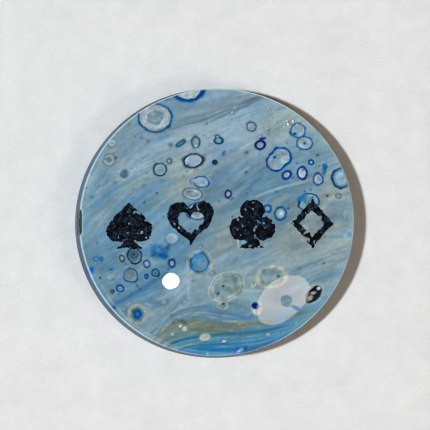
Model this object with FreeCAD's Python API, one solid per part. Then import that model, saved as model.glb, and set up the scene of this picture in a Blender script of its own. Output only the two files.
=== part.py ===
import FreeCAD, Part
import math
import os

# Dealer button: a clear plano-convex dome over a poured-paint skin that carries four
# stamped card-suit marks, glued to a thin backing disc with a felt pad under it.
# Millimetres, +Z up. The origin is the centre of the face it rests on (underside of the
# felt). +Y is the top of the marks, +X is to their right.

os.makedirs("parts", exist_ok=True)
V = FreeCAD.Vector

# ---- round pieces, from the bottom up ----
FELT_D = 47.6              # a little small, so that it never shows past the edge
FELT_T = 0.70
PAD_GLUE_D = 47.2
PAD_GLUE_T = 0.10
BACKING_D = 49.2
BACKING_T = 2.80
SKIN_D = 49.96             # the dried pour covers the top and has run down the side
SKIN_T = 0.40              # over the top
SKIN_FOOT = 0.06           # the pour stops this far above the backing's underside
SKIN_EDGE_R = 0.18
FILM_D = 49.4
FILM_T = 0.15              # clear glue between the skin and the dome
BUTTON_D = 50.0            # clear dome, the widest round piece
WALL_H = 0.78              # straight wall of the dome
CROWN_R = 67.0             # radius of curvature of the dome's top
SHOULDER_R = 0.42          # rounded edge between the wall and the crown
FOOT_R = 0.08              # tiny round on the dome's lower edge

# ---- trimmed gate of the dome at -X, with the paint run that dried against it ----
GATE_W = 4.9
GATE_Y = 0.15
CUT_LOW_IN = 0.04          # depth of the cut inside the wall at its low point...
CUT_LOW_UP = 0.16          # ...and that point's height above the dome's flat face
CUT_HIGH_IN = 0.80         # depth of the cut at its high point...
CUT_HIGH_UP = 0.36         # ...and that point's height above the rim
# ends of the cutter: position along the low-to-high line (0 to 1), change in half width
CUTTER_ENDS = ((-0.6, -0.1), (1.7, 0.3))
CUTTER_DEPTH = 4.0         # reach of the cutter towards -X
CUTTER_SPLAY = 1.2         # widening of each side over that reach
RUN_OUT = 0.20             # how far the paint run stands out at its foot
RUN_TOP_OUT = 0.02         # and at its top
RUN_IN = 0.5               # how far it reaches into the skin
RUN_TOP_DROP = 0.3         # its top, below the skin's top

# ---- marks ----
MARK_T = 0.08              # stamped paint, stands on the skin inside the clear glue
MARK_W = 8.2
MARK_H = 8.8
MARK_PITCH = 10.9
MARK_X0 = 0.65             # middle of the row
MARK_Y0 = -0.35
OUTLINE_W = 1.75           # stroke of the two outlined suits
STEM_FOOT_W = MARK_W * 0.55
half_w, half_h = MARK_W / 2, MARK_H / 2

# ---- stack heights: underside of each piece ----
z_felt = 0.0
z_pad_glue = z_felt + FELT_T
z_back = z_pad_glue + PAD_GLUE_T
z_skin_foot = z_back + SKIN_FOOT
z_skin = z_back + BACKING_T    # skin where it lies over the backing
z_film = z_skin + SKIN_T
z_dome = z_film + FILM_T
z_rim = z_dome + WALL_H        # top of the dome's straight wall
button_r = BUTTON_D / 2
z_top = z_rim + CROWN_R - math.sqrt(CROWN_R ** 2 - button_r ** 2)


# ---- shared helpers ----
def disc(diameter, thickness, z):
    return Part.makeCylinder(diameter / 2, thickness, V(0, 0, z))


def closed_polygon(points):
    return Part.makePolygon(points + [points[0]])


def rim_edges(shape, radius, z):
    """Circular edges of the given radius centred at height z."""
    return [
        edge
        for edge in shape.Edges
        if not edge.Degenerated
        and isinstance(edge.Curve, Part.Circle)
        and abs(edge.Curve.Radius - radius) < 1e-6
        and abs(edge.Curve.Center.z - z) < 1e-4
    ]


# ---- poured paint skin: a thin cap over the backing ----
def make_pour_skin():
    skin = disc(SKIN_D, z_film - z_skin_foot, z_skin_foot)
    skin = skin.makeFillet(SKIN_EDGE_R, rim_edges(skin, SKIN_D / 2, z_film))

    # paint run: its XZ section, extruded across the gate
    x_side = -SKIN_D / 2
    y_start = GATE_Y - GATE_W / 2
    z_run_top = z_film - RUN_TOP_DROP
    section = closed_polygon([
        V(x_side - RUN_OUT, y_start, z_skin_foot),
        V(x_side + RUN_IN, y_start, z_skin_foot),
        V(x_side + RUN_IN, y_start, z_run_top),
        V(x_side - RUN_TOP_OUT, y_start, z_run_top),
    ])
    run = Part.Face(section).extrude(V(0, GATE_W, 0))
    skin = skin.fuse(run).removeSplitter()

    # room for the backing disc
    return skin.cut(disc(BACKING_D, BACKING_T, z_back)).Solids[0]


# ---- mark outlines: flat faces centred on the origin ----
def spline(points):
    curve = Part.BSplineCurve()
    curve.interpolate([V(x, y, 0) for x, y in points])
    return curve.toShape()


def polygon_face(points):
    return Part.Face(closed_polygon([V(x, y, 0) for x, y in points]))


def circle_face(x, y, radius):
    return Part.Face(Part.Wire([Part.makeCircle(radius, V(x, y, 0))]))


def heart_face(half_width, half_height):
    """Heart with its tip down, from a cosine-series curve scaled to the half sizes."""
    start, end, count = 0.22, math.pi, 15   # angles beside the notch and at the tip
    curve_mid, curve_half = -2.55, 14.45    # middle and half height of the raw curve
    notch_drop = 0.03                       # extra notch depth, share of half height
    right = []
    for i in range(count):
        t = start + (end - start) * i / (count - 1)
        x = math.sin(t) ** 3
        y = 13 * math.cos(t) - 5 * math.cos(2 * t) - 2 * math.cos(3 * t) - math.cos(4 * t)
        right.append((x * half_width, (y - curve_mid) / curve_half * half_height))
    right[0] = (0.0, right[0][1] - notch_drop * half_height)
    left = [(-x, y) for x, y in reversed(right)]
    return Part.Face(Part.Wire([spline(right), spline(left)]))


def stem_face(top, foot, top_width, foot_width):
    """Flared stem under a spade or a club."""
    steps, flare_power = 8, 2.4
    right = []
    for i in range(steps + 1):
        down = i / steps
        x = top_width / 2 + (foot_width - top_width) / 2 * down ** flare_power
        right.append((x, top + (foot - top) * down))
    left = [(-x, y) for x, y in reversed(right)]
    return polygon_face(right + left)


def diamond_face(half_width, half_height, hollow):
    """Diamond whose sides are pulled in at mid-length by the share hollow."""
    steps = 6
    corners = [(half_width, 0), (0, half_height), (-half_width, 0), (0, -half_height)]
    points = []
    for (x0, y0), (x1, y1) in zip(corners, corners[1:] + corners[:1]):
        for i in range(steps):
            along = i / steps
            pull = 1 - hollow * 4 * along * (1 - along)
            points.append(((x0 + (x1 - x0) * along) * pull, (y0 + (y1 - y0) * along) * pull))
    return polygon_face(points)


# ---- the four suits: each a list of overlapping faces ----
def spade_faces():
    """An upturned heart, raised to the top of the mark, with a flared stem."""
    body_share = 0.86      # body height as a share of the mark's
    body = heart_face(half_w, half_h * body_share)
    body.rotate(V(0, 0, 0), V(0, 0, 1), 180)
    body.translate(V(0, half_h * (1 - body_share), 0))
    return [body, stem_face(-half_h * 0.25, -half_h, 0.9, STEM_FOOT_W)]


def heart_faces():
    """Outlined heart."""
    outer_half_h = half_h * 0.93
    outer = heart_face(half_w, outer_half_h)
    inner = heart_face(half_w - OUTLINE_W, outer_half_h - OUTLINE_W * 1.12)
    return [outer.cut(inner)]


def club_faces():
    """Three round leaves joined by a core, and a flared stem."""
    leaf_r = MARK_W * 0.262
    side_leaf_x = half_w - leaf_r
    side_leaf_y = -half_h * 0.20
    core_x, core_bottom, core_top = 1.1, -1.6, 1.0
    return [
        polygon_face([
            (-core_x, core_bottom),
            (core_x, core_bottom),
            (core_x, core_top),
            (-core_x, core_top),
        ]),
        circle_face(0, half_h - leaf_r, leaf_r),
        circle_face(-side_leaf_x, side_leaf_y, leaf_r),
        circle_face(side_leaf_x, side_leaf_y, leaf_r),
        stem_face(-half_h * 0.15, -half_h, 1.0, STEM_FOOT_W),
    ]


def diamond_faces():
    """Outlined diamond with slightly hollow sides."""
    outer_w, outer_h = half_w * 0.98, half_h * 1.06
    outer = diamond_face(outer_w, outer_h, 0.07)
    inner = diamond_face(outer_w - OUTLINE_W * 1.36, outer_h - OUTLINE_W * 1.5, 0.05)
    return [outer.cut(inner)]


def make_mark(faces, x):
    """One solid of the paint's thickness, x away from the middle of the row."""
    whole = None
    for face in faces:
        placed = face.copy()
        placed.translate(V(MARK_X0 + x, MARK_Y0, z_film))
        solid = placed.extrude(V(0, 0, MARK_T))
        whole = solid if whole is None else whole.fuse(solid)
    return whole.removeSplitter().Solids[0]


def make_marks():
    row = {
        "spade_mark": spade_faces(),
        "heart_mark": heart_faces(),
        "club_mark": club_faces(),
        "diamond_mark": diamond_faces(),
    }
    middle = (len(row) - 1) / 2
    return {
        name: make_mark(faces, (i - middle) * MARK_PITCH)
        for i, (name, faces) in enumerate(row.items())
    }


# ---- clear glue film, with the marks embedded in its underside ----
def make_face_adhesive(marks):
    film = disc(FILM_D, FILM_T, z_film)
    for mark in marks.values():
        film = film.cut(mark)
    return film.Solids[0]


# ---- clear dome ----
def make_gate_cutter():
    """Sloping wedge with splayed ends, lofted between two level trapezoids."""
    low_x, low_z = -button_r + CUT_LOW_IN, z_dome + CUT_LOW_UP
    high_x, high_z = -button_r + CUT_HIGH_IN, z_rim + CUT_HIGH_UP
    sections = []
    for along, widen in CUTTER_ENDS:
        x = low_x + along * (high_x - low_x)
        z = low_z + along * (high_z - low_z)
        near = GATE_W / 2 + widen
        far = near + CUTTER_SPLAY
        sections.append(closed_polygon([
            V(x, GATE_Y - near, z),
            V(x, GATE_Y + near, z),
            V(x - CUTTER_DEPTH, GATE_Y + far, z),
            V(x - CUTTER_DEPTH, GATE_Y - far, z),
        ]))
    return Part.makeLoft(sections, True, True)


def make_clear_dome():
    # XZ profile: flat face, wall, crown arc back to the axis
    half_angle = math.asin(button_r / CROWN_R) / 2
    z_centre = z_top - CROWN_R
    arc_mid = V(CROWN_R * math.sin(half_angle), 0, z_centre + CROWN_R * math.cos(half_angle))
    axis_foot, wall_foot = V(0, 0, z_dome), V(button_r, 0, z_dome)
    wall_top, apex = V(button_r, 0, z_rim), V(0, 0, z_top)
    profile = Part.Wire([
        Part.makeLine(axis_foot, wall_foot),
        Part.makeLine(wall_foot, wall_top),
        Part.Arc(wall_top, arc_mid, apex).toShape(),
        Part.makeLine(apex, axis_foot),
    ])
    dome = Part.Face(profile).revolve(V(0, 0, 0), V(0, 0, 1), 360).Solids[0]
    dome = dome.makeFillet(SHOULDER_R, rim_edges(dome, button_r, z_rim))
    dome = dome.makeFillet(FOOT_R, rim_edges(dome, button_r, z_dome))
    # the trimmed gate leaves a facet in the wall and the shoulder
    return dome.cut(make_gate_cutter()).Solids[0]


# ---- one STEP file per piece ----
marks = make_marks()
pieces = {
    "felt_pad": disc(FELT_D, FELT_T, z_felt),
    "pad_adhesive": disc(PAD_GLUE_D, PAD_GLUE_T, z_pad_glue),
    "backing_disc": disc(BACKING_D, BACKING_T, z_back),
    "pour_skin": make_pour_skin(),
    "face_adhesive": make_face_adhesive(marks),
    "clear_dome": make_clear_dome(),
    **marks,
}
for name, shape in pieces.items():
    shape.exportStep("parts/" + name + ".step")
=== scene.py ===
"""Looks for a dealer button: a poured-paint disc under a clear domed lens, with four card-suit marks."""
import math

import bmesh
import bpy
import numpy as np
from mathutils import Matrix, Vector


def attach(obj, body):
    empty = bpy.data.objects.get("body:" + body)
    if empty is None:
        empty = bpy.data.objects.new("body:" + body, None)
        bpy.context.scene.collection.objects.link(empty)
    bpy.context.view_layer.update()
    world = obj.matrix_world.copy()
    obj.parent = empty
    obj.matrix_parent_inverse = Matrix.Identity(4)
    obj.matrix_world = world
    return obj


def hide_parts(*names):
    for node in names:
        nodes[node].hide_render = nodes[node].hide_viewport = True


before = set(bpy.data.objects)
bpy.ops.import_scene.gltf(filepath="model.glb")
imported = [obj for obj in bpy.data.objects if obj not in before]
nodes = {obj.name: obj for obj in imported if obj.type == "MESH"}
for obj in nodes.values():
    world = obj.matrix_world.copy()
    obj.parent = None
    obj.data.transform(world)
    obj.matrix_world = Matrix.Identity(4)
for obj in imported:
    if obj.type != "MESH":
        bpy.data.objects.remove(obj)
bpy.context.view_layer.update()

MM = 0.001
scene = bpy.context.scene

# ---- settings: lamp colours and strengths, and the paint's tone ---------------------
PAINT_GAIN = np.array([0.96, 0.97, 0.975])
SIDE_TONE = 0.55
SIDE_HUE = (0.45, 1.08, 1.26)
NEAR_EDGE = 0.2
WALL_SHADOW = (0.02, 0.018, 0.015)
PAPER = (0.80, 0.81, 0.82)
SHIFT = (3.74638, 0.72965)
KEY_POWER, KEY_COLOUR = 57.6, (0.918, 0.958, 0.99)
KEY_TILT, KEY_ANGLE = 34.6, 2.5
FILL_POWER, FILL_COLOUR = 2.2, (1.0, 0.82, 0.55)
EDGE_COLOUR = (0.60, 0.80, 0.90)
EDGE_MASK = [(0.0, (0.17,) * 3), (0.12, (0.48,) * 3), (0.7, (0.46,) * 3), (0.93, (0.0,) * 3)]
# painted glow: the ground-edge mask used on the side away from the lamp, stronger than EDGE_MASK
EDGE_MASK_FAR_GLOW = [(0.0, (0.3,) * 3), (0.15, (0.8,) * 3), (0.88, (0.62,) * 3), (0.94, (0.0,) * 3)]
LAMP_AT, LAMP_ANGLE, LAMP_POWER = (-9.03, -11.15), 2.8, 0.43
ROOM = (0.050, 0.040, 0.0215)
UMB_COLOUR, UMB_STRENGTH = (1.0, 0.77, 0.64), 6.4
UMB = [(8.01, -12.69), (7.01, -14.35), (6.78, -16.2), (7.12, -18.22), (7.77, -18.96), (9.97, -19.42), (11.71, -18.88),
       (13.69, -17.58), (14.61, -16.73), (15.07, -16.1), (15.87, -15.34), (16.4, -14.13), (16.58, -12.73), (16.41, -11.68),
       (15.51, -10.74), (14.51, -10.27), (13.31, -10.17), (12.3, -10.1), (10.81, -10.57), (9.16, -11.59)]
UMB_AT = (12.13, -14.71)
HEAD = (12.2, -14.88, 1.08)
ARM = [(13.06, -15.96), (13.4, -15.37), (15.09, -16.36), (14.63, -16.95)]
THREADS, PIGMENT, OUTLINE = 0.045, 0.035, 0.8
# painted glow: how far the ground edge's normals are turned towards the lamp on the side away from it
PIPED = (-0.9, 1.1)
SPARK = [(12.88, 18.05, 0.27), (13.83, 18.65, 0.22), (12.12, 17.56, 0.13), (11.44, 18.99, 0.12), (10.49, 18.21, 0.14), (9.8, 19.16, 0.12), (9.18, 17.24, 0.11), (10.8, 16.69, 0.12), (8.72, 19.72, 0.11), (9.87, 16.11, 0.09), (13.23, 17.48, 0.13), (14.55, 18.08, 0.11), (11.71, 16.32, 0.09), (9.33, 21.08, 0.14), (9.8, 21.38, 0.09), (3.33, 21.25, 0.12), (3.79, 21.54, 0.09), (2.76, 20.28, 0.12), (12.72, 18.62, 0.17), (8.31, 18.38, 0.09), (7.53, 16.47, 0.09)]
# ---- the poured paint: a colour field over the skin, in millimetres ----------------
GRID = 0.1
HALF = 25.4
RNG = np.random.RandomState(7)
AX = np.arange(-HALF, HALF + 1e-6, GRID)
X, Y = np.meshgrid(AX, AX)


def linear(c):
    c = np.asarray(c, float) / 255.0
    return np.where(c <= 0.04045, c / 12.92, ((np.maximum(c, 0) + 0.055) / 1.055) ** 2.4)


def smooth(a, b, v):
    t = np.clip((v - a) / (b - a), 0, 1)
    return t * t * (3 - 2 * t)


def blur(a, s):
    """Gaussian blur, s in grid steps; it wraps round, which is harmless here."""
    fy = np.fft.fftfreq(a.shape[0])[:, None]
    fx = np.fft.rfftfreq(a.shape[1])[None, :]
    return np.fft.irfft2(np.fft.rfft2(a) * np.exp(-2 * (np.pi * s) ** 2 * (fx**2 + fy**2)), a.shape)


def noise(s, rng=RNG):
    """Smooth noise with features about s mm across, deviation 1."""
    a = blur(rng.randn(*X.shape), s / GRID)
    return a / a.std()


def sample(a, gx, gy):
    gx = np.clip(gx, 0, a.shape[1] - 1.001)
    gy = np.clip(gy, 0, a.shape[0] - 1.001)
    x0, y0 = gx.astype(int), gy.astype(int)
    fx, fy = gx - x0, gy - y0
    if a.ndim == 3:
        fx, fy = fx[..., None], fy[..., None]
    return (
        a[y0, x0] * (1 - fx) * (1 - fy)
        + a[y0, x0 + 1] * fx * (1 - fy)
        + a[y0 + 1, x0] * (1 - fx) * fy
        + a[y0 + 1, x0 + 1] * fx * fy
    )


def at(field, x, y):
    """The field's value at points in mm."""
    return sample(field, (np.asarray(x) + HALF) / GRID, (np.asarray(y) + HALF) / GRID)


def spread(points, values, sx, sy, ang):
    """Smooth field through scattered values; each point reaches sx along and sy across its flow angle."""
    num, den = 0.0, 1e-9
    xs, ys = X[::3, ::3], Y[::3, ::3]
    for (px, py), v, a in zip(points, values, ang):
        c, s = math.cos(math.radians(a)), math.sin(math.radians(a))
        u = (xs - px) * c + (ys - py) * s
        w = -(xs - px) * s + (ys - py) * c
        k = np.exp(-0.5 * ((u / sx) ** 2 + (w / sy) ** 2)) + 1e-7
        num = num + k[..., None] * np.array(v, float)
        den = den + k
    f = num / den[..., None]
    return sample(f, (X + HALF) / GRID / 3, (Y + HALF) / GRID / 3)
FLOW = [
    (-19.26, 15.45, 38),
    (-14.67, 5.04, 36),
    (-20.11, -5.04, 38),
    (-15.6, -14.32, 42),
    (-4.82, 16.94, 18),
    (-4.0, 8.56, 26),
    (3.64, 10.33, 30),
    (6.94, 20.67, 22),
    (12.13, 12.19, 22),
    (20.4, 8.02, 12),
    (11.98, 3.0, 18),
    (22.25, -4.35, 14),
    (-0.31, -0.04, 32),
    (-8.42, -7.82, 42),
    (-10.18, -18.41, 42),
    (-3.89, -19.13, 12),
    (2.91, -18.4, 2),
    (12.25, -15.88, 8),
    (18.58, -10.41, 20),
    (13.87, -7.95, 18),
    (8.25, -21.5, 14),
    (-2.93, -22.95, 12),
    (-8.0, -21.82, 25),
    (-0.24, -12.43, 18),
    (7.51, -5.16, 18),
]
# the paints mixed for the pour, palest first, and where each one lies
PAINTS = [
    (156, 180, 194),
    (162, 180, 180),
    (142, 172, 192),
    (140, 168, 178),
    (148, 166, 168),
    (118, 158, 182),
    (126, 156, 172),
    (72, 152, 196),
    (106, 144, 164),
    (96, 144, 174),
    (70, 136, 172),
    (112, 128, 118),
    (24, 126, 192),
    (76, 124, 136),
]
GROUND = [
    (-23.0, 12.0, 6),
    (-23.0, 8.0, 2),
    (-24.0, 3.5, 3),
    (-21.0, 5.0, 9),
    (-21.0, -0.5, 6),
    (-23.0, -4.0, 5),
    (-22.0, -8.0, 8),
    (-15.5, 17.0, 6),
    (-16.5, 13.5, 6),
    (-12.0, 13.5, 2),
    (-14.0, 8.0, 3),
    (-15.5, 3.0, 9),
    (-13.0, -0.5, 5),
    (-9.5, 7.0, 1),
    (-5.0, 20.0, 6),
    (-7.5, 22.0, 5),
    (0.0, 23.0, 2),
    (5.0, 22.5, 2),
    (10.5, 22.0, 2),
    (3.5, 19.0, 2),
    (-3.0, 16.0, 0),
    (6.5, 14.0, 0),
    (13.5, 19.0, 1),
    (19.0, 14.0, 3),
    (15.0, 11.5, 5),
    (4.0, 9.0, 6),
    (1.0, 7.0, 8),
    (6.5, 9.0, 6),
    (5.5, 6.5, 9),
    (11.0, 5.5, 8),
    (9.0, 2.5, 8),
    (20.5, 4.5, 4),
    (23.0, 1.0, 6),
    (23.0, -3.5, 4),
    (20.0, -2.5, 4),
    (18.5, -7.5, 4),
    (15.0, -9.0, 6),
    (23.5, -7.5, 3),
    (20.5, -11.0, 3),
    (17.0, -16.0, 9),
    (14.5, -5.0, 4),
    (4.0, -0.5, 4),
    (-3.0, -0.5, 6),
    (-6.5, -5.0, 9),
    (-12.0, -3.0, 5),
    (-18.5, -5.5, 9),
    (-16.5, -11.5, 6),
    (-20.5, -12.5, 5),
    (-12.0, -12.0, 9),
    (-15.0, -14.5, 9),
    (-10.0, -14.5, 6),
    (-5.5, -12.5, 0),
    (-9.5, -17.0, 5),
    (-12.0, -20.0, 6),
    (-12.5, -22.0, 4),
    (-6.5, -16.0, 5),
    (-1.5, -12.5, 6),
    (-3.0, -9.5, 3),
    (5.0, -8.0, 6),
    (4.0, -14.5, 3),
    (11.5, -14.5, 6),
    (-0.5, -17.0, 9),
    (6.0, -17.0, 5),
    (-3.0, -19.0, 11),
    (-6.5, -21.0, 11),
    (2.5, -20.0, 13),
    (0.0, -23.0, 10),
    (4.5, -22.0, 9),
    (9.5, -21.0, 10),
    (13.5, -19.5, 10),
    (17.0, -18.5, 8),
    (2.5, -24.5, 12),
    (-4.5, -23.0, 7),
]
RUNS = [
    ([(-25.65, 1.52), (-24.01, 8.04), (-21.45, 13.63)], (0.53, 0.71, 0.35), (158, 190, 205), 0.55, 0.53),
    ([(-13.78, 9.65), (-9.3, 12.34), (-4.83, 15.05), (-0.36, 16.69), (5.04, 17.79)], (0.71, 1.06, 0.71), (166, 186, 197), 0.5, 0.71),
    ([(-17.39, 8.8), (-13.78, 10.95), (-9.3, 14.02), (-5.72, 15.82)], (0.35, 0.53, 0.35), (158, 178, 192), 0.5, 0.35),
    ([(-17.75, 6.58), (-13.78, 9.27), (-8.41, 12.13), (-3.07, 13.16)], (0.35, 0.53, 0.35), (120, 155, 180), 0.4, 0.35),
    ([(-24.73, 2.81), (-21.95, 5.56), (-19.21, 7.17), (-15.58, 9.32), (-11.63, 11.46)], (0.26, 0.53, 0.26), (166, 186, 196), 0.55, 0.35),
    ([(-23.98, 1.68), (-21.95, 3.88), (-19.2, 5.68), (-16.12, 7.29), (-11.99, 9.61), (-9.31, 10.85)], (0.35, 0.71, 0.35), (88, 142, 180), 0.5, 0.44),
    ([(-22.31, -0.95), (-19.56, 2.72), (-16.66, 5.63), (-11.99, 9.05), (-5.57, 11.71)], (0.53, 0.71, 0.53), (146, 163, 160), 0.5, 0.53),
    ([(-17.74, 0.11), (-15.57, 3.03), (-11.99, 5.92), (-8.78, 8.07)], (0.71, 1.23, 0.53), (84, 136, 184), 0.5, 0.71),
    ([(-11.99, 1.34), (-9.32, 4.05), (-4.89, 6.73), (-0.45, 9.07)], (0.53, 0.71, 0.35), (152, 172, 170), 0.4, 0.53),
    ([(-21.95, -5.04), (-20.66, -2.44), (-18.83, -0.61)], (0.71, 0.88, 0.53), (120, 150, 160), 0.3, 0.71),
    ([(-9.27, 21.26), (-4.75, 22.11), (0.68, 23.21)], (0.53, 0.71, 0.53), (118, 155, 184), 0.4, 0.71),
    ([(-11.99, 15.59), (-7.49, 17.56), (-3.0, 19.38), (1.53, 21.25), (5.19, 22.61), (9.45, 23.82)], (0.18, 0.53, 0.53), (140, 146, 148), 0.45, 0.44),
    ([(-8.75, 16.83), (-5.7, 17.9), (-3.01, 18.62), (-0.3, 19.73), (2.78, 21.05), (5.73, 22.42), (8.7, 23.62)], (0.11, 0.53, 0.53), (98, 124, 140), 0.75, 0.28),
    ([(-3.92, 16.92), (-0.34, 18.01), (3.28, 19.51), (8.24, 21.26)], (0.35, 0.53, 0.35), (146, 178, 202), 0.45, 0.44),
    ([(-2.12, 18.03), (0.95, 19.52), (4.23, 21.05), (7.19, 22.62), (9.44, 23.63)], (0.14, 0.64, 0.97), (96, 122, 138), 0.78, 0.35),
    ([(2.0, 18.56), (5.1, 19.89), (8.22, 20.88), (12.5, 21.91)], (0.18, 0.35, 0.26), (118, 152, 178), 0.45, 0.26),
    ([(5.99, 19.51), (9.31, 20.69), (13.39, 21.15)], (0.26, 0.35, 0.26), (112, 145, 155), 0.5, 0.35),
    ([(-1.02, 3.42), (0.75, 4.68), (3.42, 6.3), (6.28, 8.3), (9.73, 10.88)], (0.12, 0.35, 0.21), (84, 128, 168), 0.75, 0.23),
    ([(0.75, 2.5), (3.23, 4.48), (5.37, 6.11), (8.25, 8.3)], (0.12, 0.32, 0.18), (88, 132, 172), 0.6, 0.21),
    ([(3.24, 5.75), (5.38, 6.84), (7.88, 7.57), (11.13, 8.3)], (0.26, 0.44, 0.18), (90, 136, 178), 0.5, 0.35),
    ([(2.55, 7.95), (5.05, 9.59), (7.22, 10.87)], (0.18, 0.35, 0.18), (150, 172, 180), 0.5, 0.26),
    ([(3.58, 3.2), (5.71, 4.1), (8.58, 5.37), (11.65, 6.29)], (0.18, 0.35, 0.21), (156, 176, 182), 0.45, 0.26),
    ([(6.78, 4.46), (11.1, 6.1), (15.69, 7.41), (20.43, 9.14), (24.74, 11.1)], (0.26, 0.53, 0.53), (172, 188, 190), 0.65, 0.35),
    ([(6.61, 5.74), (10.21, 6.65), (14.22, 7.58), (18.92, 9.49), (23.4, 11.45)], (0.18, 0.32, 0.21), (104, 142, 172), 0.65, 0.23),
    ([(18.63, 12.29), (21.54, 13.3), (23.48, 13.72)], (0.18, 0.35, 0.26), (105, 148, 165), 0.5, 0.26),
    ([(18.95, 10.61), (22.06, 11.61), (24.39, 12.22)], (0.18, 0.28, 0.21), (100, 140, 158), 0.5, 0.23),
    ([(11.97, -0.82), (14.34, 0.27), (18.04, 1.73), (20.32, 3.95), (23.44, 6.02)], (0.35, 0.88, 0.71), (176, 189, 188), 0.6, 0.53),
    ([(21.25, 0.82), (23.18, -0.66), (24.37, -2.69)], (0.21, 0.26, 0.21), (110, 150, 172), 0.5, 0.25),
    ([(13.31, -7.39), (17.54, -6.33), (21.3, -5.26), (24.77, -4.18)], (0.53, 0.71, 0.53), (142, 160, 160), 0.5, 0.44),
    ([(12.62, -9.4), (16.63, -7.79), (20.37, -6.36), (24.59, -5.11)], (0.21, 0.42, 0.21), (88, 138, 172), 0.65, 0.26),
    ([(14.85, -10.72), (18.54, -9.11), (22.32, -7.87), (24.43, -6.78)], (0.18, 0.39, 0.25), (168, 181, 176), 0.6, 0.26),
    ([(15.99, -11.48), (18.95, -10.41), (23.33, -9.18)], (0.21, 0.32, 0.25), (92, 138, 165), 0.6, 0.23),
    ([(16.38, -12.23), (18.99, -11.53), (22.05, -11.21)], (0.18, 0.28, 0.18), (150, 168, 162), 0.5, 0.25),
    ([(18.4, -15.64), (20.62, -14.18), (22.44, -11.59)], (0.53, 0.71, 0.53), (112, 155, 176), 0.5, 0.53),
    ([(-21.1, -16.65), (-18.89, -15.31), (-16.51, -14.15), (-13.78, -12.63), (-11.09, -10.76), (-8.42, -8.74)], (0.53, 1.06, 0.53), (62, 114, 162), 0.72, 0.53),
    ([(-17.8, -16.05), (-14.69, -14.88), (-11.99, -13.36), (-9.3, -12.42), (-6.28, -11.31)], (0.35, 0.62, 0.35), (142, 168, 180), 0.5, 0.44),
    ([(-21.07, -11.56), (-18.86, -10.24), (-16.66, -8.0)], (0.35, 0.53, 0.35), (96, 128, 140), 0.35, 0.53),
    ([(-12.35, -14.48), (-10.55, -14.85), (-8.4, -14.46)], (0.88, 1.41, 0.71), (82, 120, 150), 0.6, 0.71),
    ([(-10.55, -14.29), (-7.7, -12.79), (-5.75, -10.58), (-3.82, -8.02)], (0.53, 0.88, 0.53), (166, 188, 205), 0.5, 0.71),
    ([(-4.53, -7.28), (-5.22, -10.58), (-5.01, -14.64)], (0.35, 0.53, 0.35), (172, 192, 208), 0.45, 0.35),
    ([(-6.3, -7.28), (-6.65, -9.11), (-5.91, -13.53)], (0.26, 0.35, 0.26), (120, 158, 184), 0.35, 0.35),
    ([(-15.08, -21.91), (-12.35, -19.2), (-9.65, -16.71), (-6.08, -15.2), (-2.7, -14.83)], (0.35, 0.88, 0.53), (150, 172, 178), 0.5, 0.53),
    ([(-10.54, -18.42), (-8.21, -16.52), (-5.54, -15.39)], (0.14, 0.35, 0.14), (168, 172, 160), 0.55, 0.26),
    ([(-14.16, -23.81), (-11.98, -20.91), (-10.18, -18.98), (-8.39, -17.64)], (0.35, 0.44, 0.26), (88, 132, 168), 0.6, 0.28),
    ([(-8.74, -19.16), (-6.6, -17.26), (-3.93, -16.13), (-1.26, -15.94)], (0.18, 0.53, 0.35), (112, 142, 146), 0.5, 0.35),
    ([(-9.28, -17.84), (-6.6, -16.32), (-3.04, -15.38), (-0.19, -15.57), (2.32, -16.33)], (0.14, 0.23, 0.14), (84, 126, 156), 0.7, 0.16),
    ([(-3.74, -16.5), (-0.35, -16.69), (3.24, -17.46), (5.94, -17.48), (8.25, -16.01)], (0.53, 1.06, 0.53), (74, 126, 168), 0.7, 0.44),
    ([(-6.59, -18.39), (-3.74, -17.06), (-0.51, -17.63), (3.26, -18.4), (7.42, -18.63)], (0.18, 0.42, 0.26), (140, 170, 186), 0.65, 0.23),
    ([(0.93, -18.2), (2.72, -18.21), (4.69, -18.03)], (0.18, 0.32, 0.18), (168, 180, 168), 0.8, 0.18),
    ([(-11.98, -23.22), (-10.35, -20.89), (-8.2, -19.16), (-5.69, -18.76), (-3.0, -19.04), (-0.3, -19.61), (3.28, -19.15), (6.88, -18.72), (10.69, -18.11)], (0.71, 1.85, 0.71), (122, 132, 112), 0.86, 0.42),
    ([(-10.16, -23.0), (-8.36, -21.25), (-6.21, -20.47)], (0.88, 1.41, 0.88), (116, 133, 122), 0.6, 0.53),
    ([(-5.5, -19.52), (-2.98, -20.08), (0.61, -20.09), (4.19, -19.54)], (0.26, 0.53, 0.26), (98, 110, 88), 0.5, 0.32),
    ([(-2.97, -20.65), (1.51, -20.09), (5.09, -19.26), (8.87, -18.46)], (0.18, 0.35, 0.26), (142, 139, 108), 0.65, 0.25),
    ([(-7.3, -18.39), (-6.41, -18.2), (-5.33, -18.76)], (0.26, 0.35, 0.26), (72, 84, 78), 0.8, 0.21),
    ([(12.33, -17.77), (15.08, -17.07), (18.06, -16.38)], (0.53, 0.88, 0.71), (112, 128, 108), 0.75, 0.35),
    ([(15.15, -18.59), (17.36, -17.69), (19.2, -16.6)], (0.35, 0.53, 0.35), (122, 150, 138), 0.6, 0.35),
    ([(-9.07, -22.99), (-6.55, -21.91), (-2.96, -21.22), (0.26, -20.65), (3.86, -20.58), (8.2, -20.16), (12.75, -19.1)], (0.18, 0.64, 0.53), (48, 108, 142), 0.85, 0.21),
    ([(-9.61, -23.58), (-7.27, -22.2), (-4.76, -21.51), (-2.25, -20.94)], (0.26, 0.53, 0.26), (18, 108, 166), 0.85, 0.21),
    ([(-8.7, -24.14), (-5.82, -22.96), (-2.05, -21.99), (1.0, -21.61)], (0.18, 0.46, 0.18), (146, 182, 188), 0.7, 0.25),
    ([(-7.98, -23.94), (-4.74, -23.05), (-1.86, -22.47)], (0.11, 0.21, 0.11), (40, 120, 170), 0.7, 0.14),
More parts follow.
